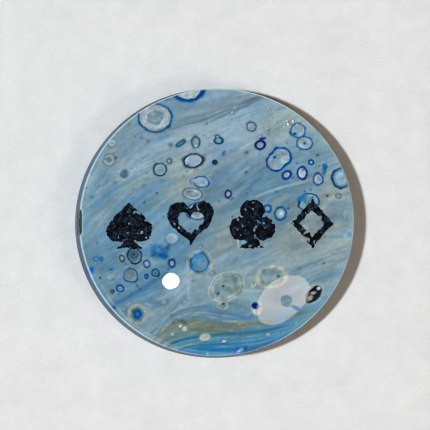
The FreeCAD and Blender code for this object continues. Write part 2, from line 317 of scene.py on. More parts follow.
    ([(-6.53, -24.12), (-2.92, -23.72), (1.6, -23.73), (5.59, -23.58), (8.68, -22.85), (12.67, -21.39), (15.58, -19.74)], (0.71, 1.23, 0.53), (28, 114, 184), 0.85, 0.44),
    ([(1.08, -24.6), (3.98, -24.43), (6.16, -23.97)], (0.26, 0.35, 0.18), (120, 182, 226), 0.75, 0.21),
    ([(5.43, -24.06), (8.87, -23.14), (12.68, -21.68), (15.41, -20.21)], (0.18, 0.28, 0.18), (14, 86, 158), 0.9, 0.16),
    ([(6.55, -24.75), (10.19, -23.84), (13.64, -22.18), (16.53, -20.14)], (0.18, 0.25, 0.18), (160, 196, 212), 0.8, 0.18),
    ([(2.1, -22.19), (6.98, -21.57), (11.89, -20.61)], (0.53, 0.88, 0.53), (86, 152, 186), 0.55, 0.44),
    ([(4.24, -21.06), (8.22, -20.54), (13.35, -20.07)], (0.18, 0.28, 0.18), (60, 116, 160), 0.5, 0.21),
    ([(24.61, 5.85), (25.04, 1.2), (24.68, -4.36), (23.34, -9.37), (21.17, -13.63)], (0.53, 0.71, 0.53), (170, 192, 195), 0.55, 0.53),
    ([(5.17, -15.23), (6.23, -14.69), (8.02, -14.33)], (0.35, 0.35, 0.35), (120, 152, 170), 0.3, 0.35),
    # painted light: a pale streak along the lower-left rim, a painted glow near the rim
    ([(-21.03, -11.3), (-18.25, -15.54), (-13.67, -19.88), (-8.15, -22.85), (-3.33, -24.09)], (0.26, 0.6, 0.32), (176, 206, 214), 0.5, 0.44),
    ([(-5.72, -23.44), (-1.66, -24.13), (2.45, -24.07), (6.48, -23.26)], (0.21, 0.42, 0.21), (110, 180, 220), 0.65, 0.28),
    ([(-10.53, -21.85), (-9.1, -19.16), (-6.96, -16.89), (-3.75, -15.76), (-0.19, -15.95), (3.4, -16.71), (6.99, -16.37)], (0.18, 0.35, 0.18), (92, 130, 156), 0.6, 0.18),
    ([(-10.17, -20.7), (-8.38, -18.4), (-5.88, -17.07), (-3.03, -16.6), (0.55, -17.07), (4.15, -17.65)], (0.18, 0.32, 0.18), (168, 186, 192), 0.55, 0.18),
    ([(-9.09, -19.92), (-7.31, -18.2), (-4.81, -17.44), (-1.95, -17.44), (1.64, -18.01), (5.24, -18.04)], (0.14, 0.25, 0.14), (88, 124, 146), 0.55, 0.14),
    ([(-11.98, -22.83), (-10.9, -20.51), (-9.1, -17.65), (-6.25, -15.76), (-2.34, -15.1)], (0.14, 0.28, 0.14), (162, 180, 186), 0.5, 0.18),
    ([(-9.43, -23.77), (-6.91, -22.39), (-4.03, -21.7), (-0.44, -21.41), (4.24, -21.25), (9.33, -20.94)], (0.11, 0.19, 0.11), (140, 192, 212), 0.65, 0.12),
    ([(-8.34, -24.33), (-5.45, -23.25), (-2.22, -22.76), (1.75, -22.57), (6.1, -22.33), (10.82, -21.35)], (0.14, 0.25, 0.14), (16, 88, 158), 0.65, 0.14),
    ([(-7.25, -24.52), (-3.64, -23.53), (0.68, -23.24), (5.39, -23.09), (9.38, -22.19)], (0.09, 0.16, 0.09), (112, 178, 214), 0.55, 0.11),
    ([(-1.11, -24.01), (2.88, -23.93), (6.5, -23.49)], (0.11, 0.19, 0.11), (8, 80, 156), 0.65, 0.12),
    ([(-5.48, -21.52), (-2.24, -21.18), (1.71, -21.04), (6.04, -20.79)], (0.09, 0.18, 0.09), (100, 154, 178), 0.55, 0.12),
    ([(-11.97, -23.79), (-10.17, -22.43), (-7.64, -21.34), (-4.77, -20.85)], (0.14, 0.25, 0.14), (70, 120, 150), 0.5, 0.18),
]
CELLS = [
    (-5.07, 24.97, 3.03, 2.61, 0, 0.02, [(0, (160, 186, 194), 1), (0.6, (172, 190, 193), 1), (0.76, (186, 198, 198), 1), (0.8, (40, 110, 165), 1), (0.84, (8, 58, 132), 1), (0.93, (0, 66, 146), 1), (0.98, (10, 90, 160), 1), (1.04, (24, 108, 174), 0.9), (1.13, (70, 136, 184), 0)], []),
    (-11.04, 19.47, 3.07, 2.76, -10, 0.03, [(0, (120, 152, 166), 1), (0.3, (132, 160, 170), 1), (0.46, (118, 150, 164), 1), (0.52, (150, 176, 188), 1), (0.57, (190, 202, 208), 1), (0.63, (150, 174, 184), 1), (0.72, (188, 197, 200), 1), (0.8, (160, 176, 178), 1), (0.87, (178, 188, 188), 1), (0.91, (60, 120, 160), 1), (0.95, (0, 88, 158), 1), (1.0, (6, 94, 164), 1), (1.05, (90, 140, 168), 0.5), (1.12, (90, 140, 168), 0)], []),
    (-10.01, 16.96, 1.06, 0.4, 15, 0.2, [(0, (60, 120, 150), 0.8), (0.6, (70, 125, 150), 0.7), (1.2, (70, 125, 150), 0)], []),
    (-18.89, 14.87, 0.78, 0.8, 0, 0.06, [(0, (70, 135, 182), 1), (0.22, (80, 140, 180), 1), (0.45, (168, 184, 195), 1), (0.75, (164, 181, 192), 1), (0.95, (110, 136, 146), 0.8), (1.35, (110, 136, 146), 0)], []),
    (-19.41, 11.67, 1.09, 1.12, 0, 0.08, [(0, (104, 142, 165), 1), (0.42, (112, 148, 165), 1), (0.56, (173, 184, 185), 1), (0.78, (166, 178, 178), 1), (0.95, (108, 124, 126), 0.85), (1.3, (110, 130, 132), 0)], []),
    (-20.06, 11.88, 0.21, 0.18, 0, 0, [(0, (40, 110, 170), 1), (1, (40, 110, 170), 0.6), (1.5, (40, 110, 170), 0)], []),
    (-18.19, 12.0, 0.21, 0.4, -20, 0.1, [(0, (60, 64, 58), 1), (0.8, (80, 84, 78), 0.8), (1.3, (80, 84, 78), 0)], []),
    (-18.5, 12.96, 0.21, 0.27, -20, 0.1, [(0, (88, 98, 100), 0.8), (1.3, (88, 98, 100), 0)], []),
    (-16.67, 8.97, 0.99, 0.87, 30, 0.08, [(0, (70, 104, 120), 1), (0.35, (84, 118, 132), 0.95), (0.6, (66, 100, 118), 0.85), (0.9, (124, 154, 172), 0.6), (1.15, (172, 190, 200), 0.55), (1.6, (165, 185, 198), 0)], []),
    (-18.29, 7.52, 0.35, 0.36, 0, 0.2, [(0, (80, 122, 150), 0.8), (1.4, (80, 122, 150), 0)], []),
    (-10.2, 9.66, 1.27, 1.27, 0, 0.02, [(0, (30, 96, 168), 1), (0.12, (40, 104, 168), 1), (0.2, (171, 184, 191), 1), (0.32, (150, 170, 180), 1), (0.4, (84, 120, 140), 1), (0.5, (159, 177, 189), 1), (0.6, (164, 181, 192), 1), (0.7, (120, 148, 162), 1), (0.79, (150, 172, 180), 1), (0.86, (20, 58, 72), 1), (0.96, (34, 74, 84), 1), (1.08, (60, 96, 104), 0)], []),
    (-8.59, 11.21, 0.53, 0.54, 0, 0.05, [(0, (168, 182, 176), 1), (0.45, (150, 168, 170), 1), (0.75, (72, 98, 110), 1), (1, (96, 120, 128), 0.8), (1.3, (96, 120, 128), 0)], []),
    (-12.52, 9.06, 0.25, 0.25, 0, 0, [(0, (88, 124, 138), 0.8), (1.5, (88, 124, 138), 0)], []),
    (-8.23, 14.18, 0.53, 0.49, 0, 0.08, [(0, (70, 128, 165), 1), (0.6, (84, 132, 150), 0.9), (1.3, (120, 150, 158), 0)], []),
    (-6.53, 14.43, 1.06, 0.51, 35, 0.06, [(0, (84, 142, 180), 1), (0.4, (60, 115, 150), 1), (0.85, (44, 96, 130), 1), (1.15, (160, 176, 176), 0.6), (1.6, (160, 176, 176), 0)], []),
    (-3.81, 14.66, 0.86, 1.2, 0, 0.04, [(0, (172, 188, 194), 1), (0.35, (150, 170, 178), 1), (0.6, (128, 154, 164), 1), (0.78, (36, 92, 120), 1), (0.95, (40, 96, 124), 1), (1.12, (140, 160, 168), 0.5), (1.35, (150, 170, 178), 0)], []),
    (-3.78, 13.88, 0.35, 0.27, 0, 0.05, [(0, (206, 214, 216), 1), (0.8, (190, 202, 206), 0.9), (1.3, (150, 170, 178), 0)], []),
    (-2.33, 15.86, 0.28, 0.25, 0, 0, [(0, (112, 140, 150), 0.8), (1.5, (112, 140, 150), 0)], []),
    (0.24, 14.9, 0.85, 0.69, 0, 0.08, [(0, (150, 186, 204), 1), (0.4, (120, 168, 192), 1), (0.62, (60, 116, 146), 1), (0.78, (14, 66, 98), 1), (0.97, (16, 66, 98), 0.95), (1.2, (60, 110, 130), 0)], [(-0.18, 0.73, 0.46, 0.4)]),
    (-4.33, 11.23, 2.05, 1.41, 10, 0.05, [(0, (144, 169, 183), 1), (0.5, (150, 171, 185), 1), (0.68, (159, 177, 189), 1), (0.74, (162, 178, 187), 1), (0.8, (4, 52, 102), 1), (0.91, (8, 58, 104), 1), (0.97, (90, 96, 82), 1), (1.05, (140, 122, 84), 0.7), (1.14, (140, 130, 110), 0)], []),
    (-5.22, 10.41, 0.28, 0.22, 0, 0, [(0, (10, 80, 150), 1), (1.3, (10, 80, 150), 0)], []),
    (-0.47, 10.85, 0.44, 0.44, 0, 0, [(0, (20, 96, 165), 1), (0.35, (16, 80, 140), 1), (0.6, (6, 20, 44), 1), (1.0, (12, 28, 52), 0.9), (1.3, (60, 90, 110), 0)], []),
    (1.18, 12.47, 0.35, 0.65, -15, 0.15, [(0, (72, 114, 142), 0.9), (0.7, (72, 114, 142), 0.8), (1.3, (110, 150, 175), 0)], []),
    (-2.85, 7.26, 1.55, 1.12, -10, 0.07, [(0, (141, 175, 192), 1), (0.55, (149, 177, 193), 1), (0.74, (159, 179, 187), 1), (0.82, (14, 100, 172), 1), (0.94, (4, 94, 168), 1), (1.02, (120, 130, 150), 0.8), (1.14, (180, 167, 160), 0.5), (1.28, (180, 167, 160), 0)], [(-1.41, 0.27, 0.71, 0.47)]),
    (-4.45, 5.08, 1.94, 1.23, -8, 0.04, [(0, (136, 158, 168), 1), (0.3, (120, 146, 160), 1), (0.45, (108, 138, 154), 1), (0.5, (140, 160, 170), 1), (0.62, (158, 174, 179), 1), (0.76, (172, 178, 178), 1), (0.82, (120, 150, 170), 1), (0.88, (50, 112, 160), 1), (0.96, (110, 125, 128), 0.9), (1.03, (176, 160, 134), 0.8), (1.14, (160, 160, 150), 0)], []),
    (-3.66, 1.89, 1.94, 1.72, 0, 0.04, [(0, (140, 162, 164), 1), (0.3, (120, 146, 156), 1), (0.36, (152, 170, 170), 1), (0.5, (134, 158, 166), 1), (0.58, (155, 170, 168), 1), (0.7, (188, 172, 151), 1), (0.77, (162, 169, 170), 1), (0.84, (16, 108, 180), 1), (0.96, (18, 108, 178), 1), (1.05, (150, 150, 140), 0.5), (1.16, (150, 150, 140), 0)], []),
    (1.87, 5.03, 0.65, 0.85, -5, 0.03, [(0, (174, 181, 171), 1), (0.45, (164, 174, 172), 1), (0.62, (14, 50, 128), 1), (0.95, (16, 50, 124), 1), (1.2, (150, 165, 170), 0.3), (1.4, (150, 165, 170), 0)], []),
    (6.15, 17.47, 0.99, 0.98, 0, 0.05, [(0, (146, 166, 178), 1), (0.22, (157, 173, 183), 1), (0.4, (128, 152, 168), 1), (0.52, (160, 177, 189), 1), (0.66, (156, 174, 188), 1), (0.8, (66, 96, 124), 1), (0.96, (84, 112, 134), 0.95), (1.2, (140, 156, 160), 0)], []),
    (4.3, 17.04, 0.28, 0.36, 0, 0.1, [(0, (186, 202, 214), 0.8), (1.4, (186, 202, 214), 0)], []),
    (2.35, 17.99, 0.62, 0.54, 0, 0.2, [(0, (128, 160, 184), 0.6), (1.3, (128, 160, 184), 0)], []),
    (7.68, 13.99, 1.04, 0.89, 30, 0.04, [(0, (100, 140, 170), 1), (0.25, (156, 170, 172), 1), (0.52, (160, 174, 176), 1), (0.66, (8, 32, 116), 1), (0.97, (4, 22, 104), 1), (1.12, (80, 110, 150), 0)], []),
    (8.21, 15.27, 0.6, 0.2, 14, 0.02, [(0, (4, 44, 132), 1), (0.8, (4, 44, 132), 0.95), (1.3, (10, 54, 140), 0)], []),
    (11.39, 11.85, 1.83, 1.89, -20, 0.02, [(0, (140, 172, 192), 1), (0.45, (146, 176, 192), 1), (0.56, (176, 186, 184), 1), (0.64, (142, 174, 192), 1), (0.74, (164, 188, 200), 1), (0.79, (150, 180, 196), 1), (0.84, (8, 84, 162), 1), (0.9, (0, 70, 150), 1), (0.98, (0, 70, 150), 1), (1.04, (50, 120, 175), 0.9), (1.12, (80, 140, 185), 0)], [(-0.92, -0.94, 1.73, 1.78)]),
    (10.94, 12.28, 0.85, 0.8, 0, 0.02, [(0, (140, 172, 190), 1), (0.58, (139, 169, 186), 1), (0.7, (172, 177, 177), 1), (0.82, (96, 122, 140), 1), (0.95, (143, 170, 185), 0.8), (1.2, (143, 170, 185), 0)], []),
    (10.21, 11.77, 0.28, 0.24, 0, 0, [(0, (0, 60, 150), 1), (0.7, (0, 70, 155), 1), (1.3, (30, 110, 175), 0)], []),
    (12.37, 8.49, 0.99, 0.76, 42, 0.04, [(0, (150, 174, 182), 1), (0.5, (160, 180, 184), 1), (0.68, (6, 48, 156), 1), (0.95, (4, 52, 160), 1), (1.2, (70, 120, 170), 0)], []),
    (15.17, 8.88, 1.01, 1.34, 0, 0.04, [(0, (143, 166, 187), 1), (0.2, (152, 171, 189), 1), (0.35, (171, 184, 194), 1), (0.66, (174, 185, 195), 1), (0.76, (0, 36, 126), 1), (0.96, (4, 40, 122), 1), (1.12, (90, 120, 150), 0)], []),
    (15.48, 9.53, 0.28, 0.25, 0, 0, [(0, (10, 70, 150), 0.9), (1.3, (10, 70, 150), 0)], []),
    (16.93, 10.89, 0.56, 0.53, 0, 0.03, [(0, (169, 186, 196), 1), (0.35, (165, 184, 196), 1), (0.6, (4, 58, 156), 1), (0.9, (10, 66, 158), 1), (1.25, (80, 130, 180), 0)], []),
    (18.12, 7.75, 1.04, 1.16, 0, 0.05, [(0, (148, 170, 187), 1), (0.25, (165, 179, 192), 1), (0.66, (171, 184, 196), 1), (0.8, (20, 92, 160), 1), (0.98, (28, 96, 158), 1), (1.15, (100, 140, 165), 0)], []),
    (19.56, 10.21, 0.42, 0.47, 0, 0.03, [(0, (80, 170, 210), 1), (0.4, (14, 112, 172), 1), (0.9, (18, 104, 160), 1), (1.3, (80, 130, 160), 0)], [(-0.14, -0.76, 0.3, 0.65)]),
    (19.24, 8.84, 0.39, 0.33, 0, 0.03, [(0, (56, 116, 146), 1), (0.8, (56, 116, 146), 0.9), (1.3, (90, 130, 150), 0)], []),
    (22.52, 8.05, 1.85, 1.9, 0, 0.04, [(0, (140, 176, 200), 1), (0.3, (150, 186, 206), 1), (0.5, (176, 200, 214), 1), (0.6, (110, 160, 200), 1), (0.68, (160, 192, 212), 1), (0.75, (40, 118, 176), 1), (0.86, (20, 98, 156), 1), (0.93, (10, 40, 66), 1), (1.0, (16, 48, 72), 1), (1.1, (110, 140, 150), 0)], []),
    (14.72, 16.82, 1.57, 1.49, 0, 0.02, [(0, (136, 166, 186), 1), (0.38, (140, 169, 186), 1), (0.47, (166, 179, 186), 1), (0.56, (140, 168, 184), 1), (0.66, (164, 181, 192), 1), (0.76, (138, 169, 189), 1), (0.85, (24, 98, 164), 1), (0.96, (44, 112, 170), 1), (1.08, (110, 150, 180), 0)], []),
    (15.82, 14.45, 1.64, 1.34, 10, 0.02, [(0, (30, 90, 140), 1), (0.1, (60, 110, 150), 1), (0.2, (120, 160, 182), 1), (0.3, (166, 179, 181), 1), (0.44, (140, 168, 184), 1), (0.56, (171, 182, 182), 1), (0.68, (143, 170, 185), 1), (0.78, (163, 181, 192), 1), (0.87, (20, 92, 160), 1), (0.97, (40, 108, 168), 1), (1.06, (110, 150, 180), 0)], []),
    (14.04, 16.17, 0.3, 0.22, 0, 0.05, [(0, (0, 56, 140), 1), (0.8, (0, 66, 146), 0.9), (1.4, (0, 66, 146), 0)], []),
    (13.86, 17.21, 0.74, 0.4, 60, 0.1, [(0, (176, 180, 180), 0.8), (0.6, (120, 150, 170), 0.7), (1.3, (120, 150, 170), 0)], []),
    (16.28, 3.56, 2.12, 1.67, 20, 0.03, [(0, (108, 148, 166), 1), (0.4, (112, 150, 166), 1), (0.6, (118, 160, 178), 1), (0.75, (136, 174, 190), 1), (0.86, (100, 150, 178), 1), (0.93, (16, 62, 98), 1), (0.99, (14, 58, 94), 1), (1.05, (150, 170, 170), 0.6), (1.12, (170, 184, 182), 0)], []),
    (15.28, 4.47, 1.23, 0.65, 38, 0.05, [(0, (30, 112, 168), 0.85), (0.6, (40, 118, 168), 0.7), (1.2, (40, 118, 168), 0)], []),
    (14.47, 4.28, 0.78, 0.25, 62, 0.02, [(0, (16, 112, 176), 0.9), (0.8, (16, 112, 176), 0.7), (1.3, (16, 112, 176), 0)], []),
    (14.62, 3.28, 0.74, 0.15, 62, 0.02, [(0, (8, 46, 86), 1), (0.8, (8, 46, 86), 0.9), (1.4, (8, 46, 86), 0)], []),
    (17.04, 4.38, 0.28, 0.2, 20, 0, [(0, (0, 54, 140), 1), (1.4, (0, 54, 140), 0)], []),
    (15.6, 3.59, 0.26, 0.22, 0, 0, [(0, (10, 84, 160), 1), (1.4, (10, 84, 160), 0)], []),
    (21.96, 4.7, 0.67, 0.62, 0, 0.03, [(0, (160, 178, 178), 1), (0.35, (132, 160, 164), 1), (0.6, (108, 140, 144), 1), (0.9, (92, 118, 124), 0.9), (1.2, (184, 194, 188), 0.7), (1.5, (184, 194, 188), 0)], []),
    (5.0, 3.29, 0.81, 0.31, 36, 0.05, [(0, (84, 160, 205), 1), (0.6, (54, 128, 182), 0.9), (1.1, (54, 128, 182), 0.3), (1.5, (120, 160, 185), 0)], []),
    (2.43, 4.12, 0.39, 0.25, 0, 0.1, [(0, (60, 116, 160), 0.9), (1.4, (60, 116, 160), 0)], []),
    (8.82, 2.37, 0.81, 0.8, 0, 0.03, [(0, (196, 208, 214), 1), (0.35, (120, 180, 220), 1), (0.55, (14, 110, 186), 1), (0.85, (4, 84, 160), 1), (1.0, (150, 150, 128), 0.8), (1.2, (170, 180, 176), 0)], []),
    (11.16, 1.45, 1.23, 1.36, 0, 0.03, [(0, (172, 188, 190), 1), (0.45, (168, 184, 186), 1), (0.6, (120, 160, 180), 1), (0.74, (20, 104, 168), 1), (0.88, (20, 84, 140), 1), (1.0, (100, 130, 140), 0.7), (1.2, (170, 180, 170), 0)], []),
    (10.5, 5.44, 0.3, 0.27, 0, 0, [(0, (8, 104, 188), 1), (0.8, (20, 110, 186), 0.9), (1.4, (60, 130, 180), 0)], []),
    (10.96, 4.61, 0.35, 0.18, 12, 0.05, [(0, (104, 112, 92), 1), (0.8, (112, 120, 100), 0.8), (1.4, (112, 120, 100), 0)], []),
    (9.5, 3.89, 0.25, 0.16, 0, 0, [(0, (84, 100, 104), 0.9), (1.4, (84, 100, 104), 0)], []),
    (6.23, 0.83, 1.06, 1.09, 0, 0.03, [(0, (150, 180, 196), 1), (0.5, (160, 184, 194), 1), (0.72, (176, 188, 190), 1), (0.9, (100, 120, 124), 0.9), (1.1, (180, 170, 150), 0)], []),
    (8.2, -0.17, 1.15, 1.09, 0, 0.12, [(0, (150, 190, 210), 1), (0.3, (70, 140, 190), 1), (0.5, (110, 165, 200), 1), (0.7, (20, 104, 175), 1), (1.0, (60, 130, 185), 0.7), (1.3, (60, 130, 185), 0)], []),
    (4.47, -3.6, 1.06, 1.45, 0, 0.04, [(0, (134, 171, 191), 1), (0.4, (120, 160, 184), 1), (0.6, (90, 140, 170), 1), (0.78, (174, 186, 187), 1), (0.95, (183, 175, 155), 0.9), (1.15, (163, 170, 165), 0)], []),
    (15.36, -2.11, 1.23, 1.63, 10, 0.05, [(0, (134, 162, 170), 1), (0.4, (140, 166, 172), 1), (0.55, (196, 186, 160), 1), (0.68, (140, 168, 176), 1), (0.8, (170, 184, 186), 0.9), (1.1, (150, 172, 178), 0)], []),
    (23.67, 1.38, 0.97, 1.09, 0, 0.05, [(0, (168, 184, 180), 0.9), (0.5, (130, 164, 176), 0.8), (0.7, (170, 184, 180), 0.9), (0.9, (104, 146, 160), 0.7), (1.2, (104, 146, 160), 0)], []),
    (23.78, -2.23, 0.85, 0.73, 10, 0.05, [(0, (118, 160, 196), 1), (0.35, (104, 152, 192), 1), (0.6, (150, 182, 204), 1), (0.8, (110, 152, 184), 1), (1.1, (176, 184, 172), 0.6), (1.4, (176, 184, 172), 0)], []),
    (24.75, 0.37, 0.28, 0.25, 0, 0, [(0, (80, 130, 180), 0.9), (1.4, (80, 130, 180), 0)], []),
    (-10.38, -5.35, 1.69, 1.45, -20, 0.16, [(0, (58, 120, 170), 0.95), (0.4, (44, 108, 166), 0.92), (0.75, (50, 114, 168), 0.85), (1.0, (64, 126, 174), 0.5), (1.3, (90, 142, 180), 0)], []),
    (-10.56, -4.98, 0.42, 0.44, 0, 0.2, [(0, (132, 152, 160), 0.9), (0.6, (110, 146, 166), 0.6), (1.3, (110, 146, 166), 0)], []),
    (-9.67, -6.17, 0.95, 0.62, -10, 0.25, [(0, (4, 84, 152), 0.9), (0.6, (10, 88, 154), 0.85), (1.25, (40, 112, 170), 0)], []),
    (-11.18, -5.89, 0.56, 0.4, 20, 0.25, [(0, (10, 84, 150), 0.8), (0.6, (14, 88, 150), 0.6), (1.3, (40, 112, 170), 0)], []),
    (-9.05, -4.62, 0.39, 0.29, -30, 0.2, [(0, (16, 90, 150), 0.8), (1.3, (40, 112, 170), 0)], []),
    (-14.71, -6.1, 1.31, 1.63, 14, 0.03, [(0, (104, 132, 146), 1), (0.45, (98, 128, 142), 1), (0.6, (78, 110, 130), 1), (0.7, (126, 158, 176), 1), (0.78, (116, 152, 172), 1), (0.85, (16, 56, 90), 1), (0.97, (10, 54, 88), 1), (1.05, (90, 124, 144), 0.7), (1.13, (150, 170, 180), 0)], []),
    (-14.78, -5.83, 0.93, 1.02, 20, 0.04, [(0, (40, 70, 92), 1), (0.16, (22, 50, 76), 1), (0.28, (124, 146, 156), 1), (0.42, (26, 54, 76), 1), (0.56, (122, 146, 156), 1), (0.7, (24, 50, 68), 1), (0.84, (104, 132, 146), 1), (1.1, (98, 128, 142), 0)], []),
    (-17.02, -6.58, 0.56, 0.76, 10, 0.06, [(0, (188, 194, 184), 1), (0.4, (150, 166, 166), 1), (0.65, (58, 80, 86), 1), (0.9, (70, 92, 96), 0.9), (1.2, (180, 186, 176), 0.5), (1.5, (180, 186, 176), 0)], []),
    (-12.56, -7.58, 0.67, 0.8, 15, 0.04, [(0, (150, 166, 172), 1), (0.2, (168, 181, 188), 1), (0.5, (156, 176, 188), 1), (0.68, (16, 88, 152), 1), (0.93, (26, 94, 154), 1), (1.15, (158, 172, 181), 0)], []),
    (-8.07, -7.53, 0.69, 0.94, 10, 0.05, [(0, (164, 178, 186), 1), (0.4, (152, 173, 187), 1), (0.6, (10, 62, 124), 1), (0.93, (20, 76, 132), 0.95), (1.15, (145, 167, 182), 0)], []),
    (-8.69, -8.46, 0.21, 0.29, 0, 0, [(0, (16, 66, 124), 0.9), (1.4, (16, 66, 124), 0)], []),
    (-8.79, -4.53, 0.32, 0.62, -35, 0.05, [(0, (60, 120, 165), 1), (0.7, (30, 90, 140), 0.9), (1.2, (60, 110, 150), 0)], []),
    (-8.08, -2.89, 1.27, 1.16, 0, 0.04, [(0, (150, 178, 190), 0.9), (0.5, (150, 180, 194), 0.9), (0.75, (160, 186, 198), 0.9), (0.9, (70, 130, 180), 0.9), (1.05, (70, 130, 180), 0.3), (1.2, (70, 130, 180), 0)], []),
    (-3.18, -7.42, 2.26, 2.36, -15, 0.04, [(0, (98, 142, 172), 1), (0.5, (98, 142, 172), 1), (0.64, (92, 138, 170), 1), (0.7, (24, 86, 140), 1), (0.76, (40, 98, 146), 1), (0.81, (158, 180, 190), 1), (0.87, (112, 140, 152), 1), (0.91, (140, 150, 142), 0.95), (0.95, (182, 182, 168), 0.95), (1.0, (176, 180, 170), 0.7), (1.07, (168, 176, 168), 0)], []),
    (-3.3, -6.19, 1.31, 0.87, -10, 0.1, [(0, (56, 134, 192), 0.95), (0.5, (66, 140, 192), 0.85), (1.15, (90, 152, 194), 0)], []),
    (-4.6, -8.01, 0.35, 0.98, -20, 0.1, [(0, (14, 104, 180), 0.95), (0.5, (20, 108, 182), 0.85), (1.2, (40, 120, 186), 0)], []),
    (-2.58, -8.29, 1.15, 0.8, 20, 0.1, [(0, (96, 132, 160), 0.7), (0.6, (96, 132, 160), 0.6), (1.2, (96, 132, 160), 0)], []),
    (-0.63, -8.03, 0.64, 0.2, 48, 0.05, [(0, (132, 128, 96), 0.95), (0.7, (136, 134, 104), 0.8), (1.3, (136, 134, 104), 0)], []),
    (-15.42, -9.78, 1.45, 1.41, 0, 0.05, [(0, (104, 136, 156), 1), (0.4, (104, 134, 150), 1), (0.6, (112, 132, 138), 1), (0.7, (150, 168, 172), 1), (0.77, (140, 158, 160), 1), (0.83, (10, 86, 156), 1), (0.96, (22, 96, 160), 1), (1.08, (140, 160, 170), 0.3), (1.2, (140, 160, 170), 0)], []),
    (-16.03, -9.45, 0.92, 0.87, 0, 0.05, [(0, (112, 140, 156), 1), (0.6, (116, 140, 152), 1), (0.85, (110, 146, 170), 0.8), (1.1, (110, 146, 170), 0)], []),
    (-19.11, -9.76, 0.99, 1.2, 0, 0.05, [(0, (124, 150, 160), 1), (0.25, (150, 170, 172), 1), (0.4, (112, 140, 152), 1), (0.55, (158, 178, 180), 1), (0.7, (120, 156, 176), 1), (0.86, (76, 146, 198), 0.95), (1.05, (110, 156, 184), 0.4), (1.2, (110, 156, 184), 0)], []),
    (-18.94, -8.64, 0.53, 0.25, 0, 0.1, [(0, (30, 124, 190), 0.9), (0.7, (40, 128, 190), 0.8), (1.3, (60, 136, 190), 0)], []),
    (-18.67, -10.42, 0.3, 0.25, 0, 0.1, [(0, (96, 116, 128), 0.9), (1.4, (96, 116, 128), 0)], []),
    (-21.77, -6.67, 0.53, 0.53, 0, 0.04, [(0, (176, 192, 200), 1), (0.35, (120, 160, 186), 1), (0.65, (46, 114, 168), 1), (1.0, (60, 122, 172), 0.8), (1.3, (60, 122, 172), 0)], []),
    (-20.76, -6.76, 0.49, 0.54, 0, 0.08, [(0, (90, 150, 190), 1), (0.3, (30, 104, 168), 1), (0.8, (50, 118, 174), 0.9), (1.3, (80, 136, 180), 0)], []),
    (-22.56, -8.76, 0.48, 0.76, 20, 0.08, [(0, (0, 78, 170), 1), (0.5, (14, 100, 184), 1), (1.0, (60, 140, 200), 0.7), (1.35, (110, 165, 200), 0)], []),
    (-21.06, -10.16, 0.3, 0.47, 20, 0.08, [(0, (30, 96, 158), 1), (0.6, (40, 106, 164), 0.9), (1.0, (160, 186, 200), 0.6), (1.5, (160, 186, 200), 0)], []),
    (-11.02, -9.25, 0.81, 0.82, 0, 0.06, [(0, (90, 138, 162), 1), (0.3, (54, 104, 134), 1), (0.45, (120, 158, 176), 1), (0.6, (60, 110, 144), 1), (0.75, (24, 78, 126), 1), (0.95, (36, 90, 136), 0.9), (1.2, (150, 176, 190), 0.3), (1.4, (150, 176, 190), 0)], []),
    (-12.65, -9.97, 0.51, 0.56, 0, 0.05, [(0, (24, 128, 190), 1), (0.4, (10, 100, 166), 1), (0.9, (16, 86, 144), 1), (1.2, (160, 184, 196), 0.5), (1.5, (160, 184, 196), 0)], []),
    (-17.37, -12.21, 0.78, 0.74, -35, 0.05, [(0, (84, 100, 96), 1), (0.25, (60, 104, 126), 1), (0.42, (136, 176, 200), 1), (0.62, (60, 122, 170), 1), (0.72, (6, 78, 146), 1), (0.97, (16, 86, 150), 1), (1.2, (90, 140, 175), 0)], []),
    (-18.76, -12.72, 0.62, 0.63, 20, 0.06, [(0, (170, 196, 210), 1), (0.25, (20, 84, 152), 1), (0.5, (36, 92, 156), 1), (0.7, (96, 110, 114), 1), (0.9, (146, 128, 104), 0.95), (1.2, (146, 130, 110), 0)], []),
    (-17.59, -13.22, 0.35, 0.24, 15, 0.1, [(0, (30, 84, 144), 0.9), (1.4, (30, 84, 144), 0)], []),
    (-14.23, -11.65, 0.25, 0.29, 0, 0, [(0, (56, 84, 112), 0.9), (1.4, (56, 84, 112), 0)], []),
    (-13.78, -12.26, 0.32, 0.25, 0, 0.1, [(0, (36, 90, 150), 0.8), (1.5, (36, 90, 150), 0)], []),
    (-14.26, -16.98, 1.91, 2.07, 0, 0.05, [(0, (20, 112, 190), 1), (0.1, (30, 124, 200), 1), (0.2, (8, 88, 164), 1), (0.34, (14, 80, 144), 1), (0.44, (84, 130, 158), 1), (0.6, (116, 150, 166), 1), (0.7, (168, 176, 160), 1), (0.78, (150, 168, 166), 1), (0.86, (182, 184, 168), 1), (0.93, (150, 166, 164), 0.7), (1.08, (150, 166, 164), 0)], []),
    (-14.79, -16.39, 0.46, 0.36, 0, 0.1, [(0, (56, 80, 96), 0.8), (0.6, (50, 90, 120), 0.6), (1.3, (50, 90, 120), 0)], []),
    (-13.65, -18.02, 0.26, 0.22, 0, 0, [(0, (56, 122, 180), 0.9), (1.4, (56, 122, 180), 0)], []),
    (-12.35, -15.05, 0.71, 0.22, -20, 0.1, [(0, (178, 180, 164), 0.7), (1.3, (178, 180, 164), 0)], []),
    (-15.96, -15.08, 0.71, 0.2, 25, 0.1, [(0, (180, 184, 170), 0.6), (1.3, (180, 184, 170), 0)], []),
    (-18.53, -15.83, 0.39, 0.4, 0, 0.1, [(0, (120, 170, 200), 1), (0.3, (16, 92, 158), 1), (0.8, (30, 104, 164), 0.9), (1.3, (90, 140, 180), 0)], []),
    (-16.97, -16.41, 0.56, 0.33, 58, 0.08, [(0, (104, 128, 120), 0.95), (0.5, (110, 136, 128), 0.8), (0.8, (170, 186, 190), 0.6), (1.3, (170, 186, 190), 0)], []),
    (-9.47, -14.65, 0.35, 0.29, 0, 0, [(0, (190, 200, 196), 0.8), (0.7, (180, 192, 192), 0.6), (1.4, (180, 192, 192), 0)], []),
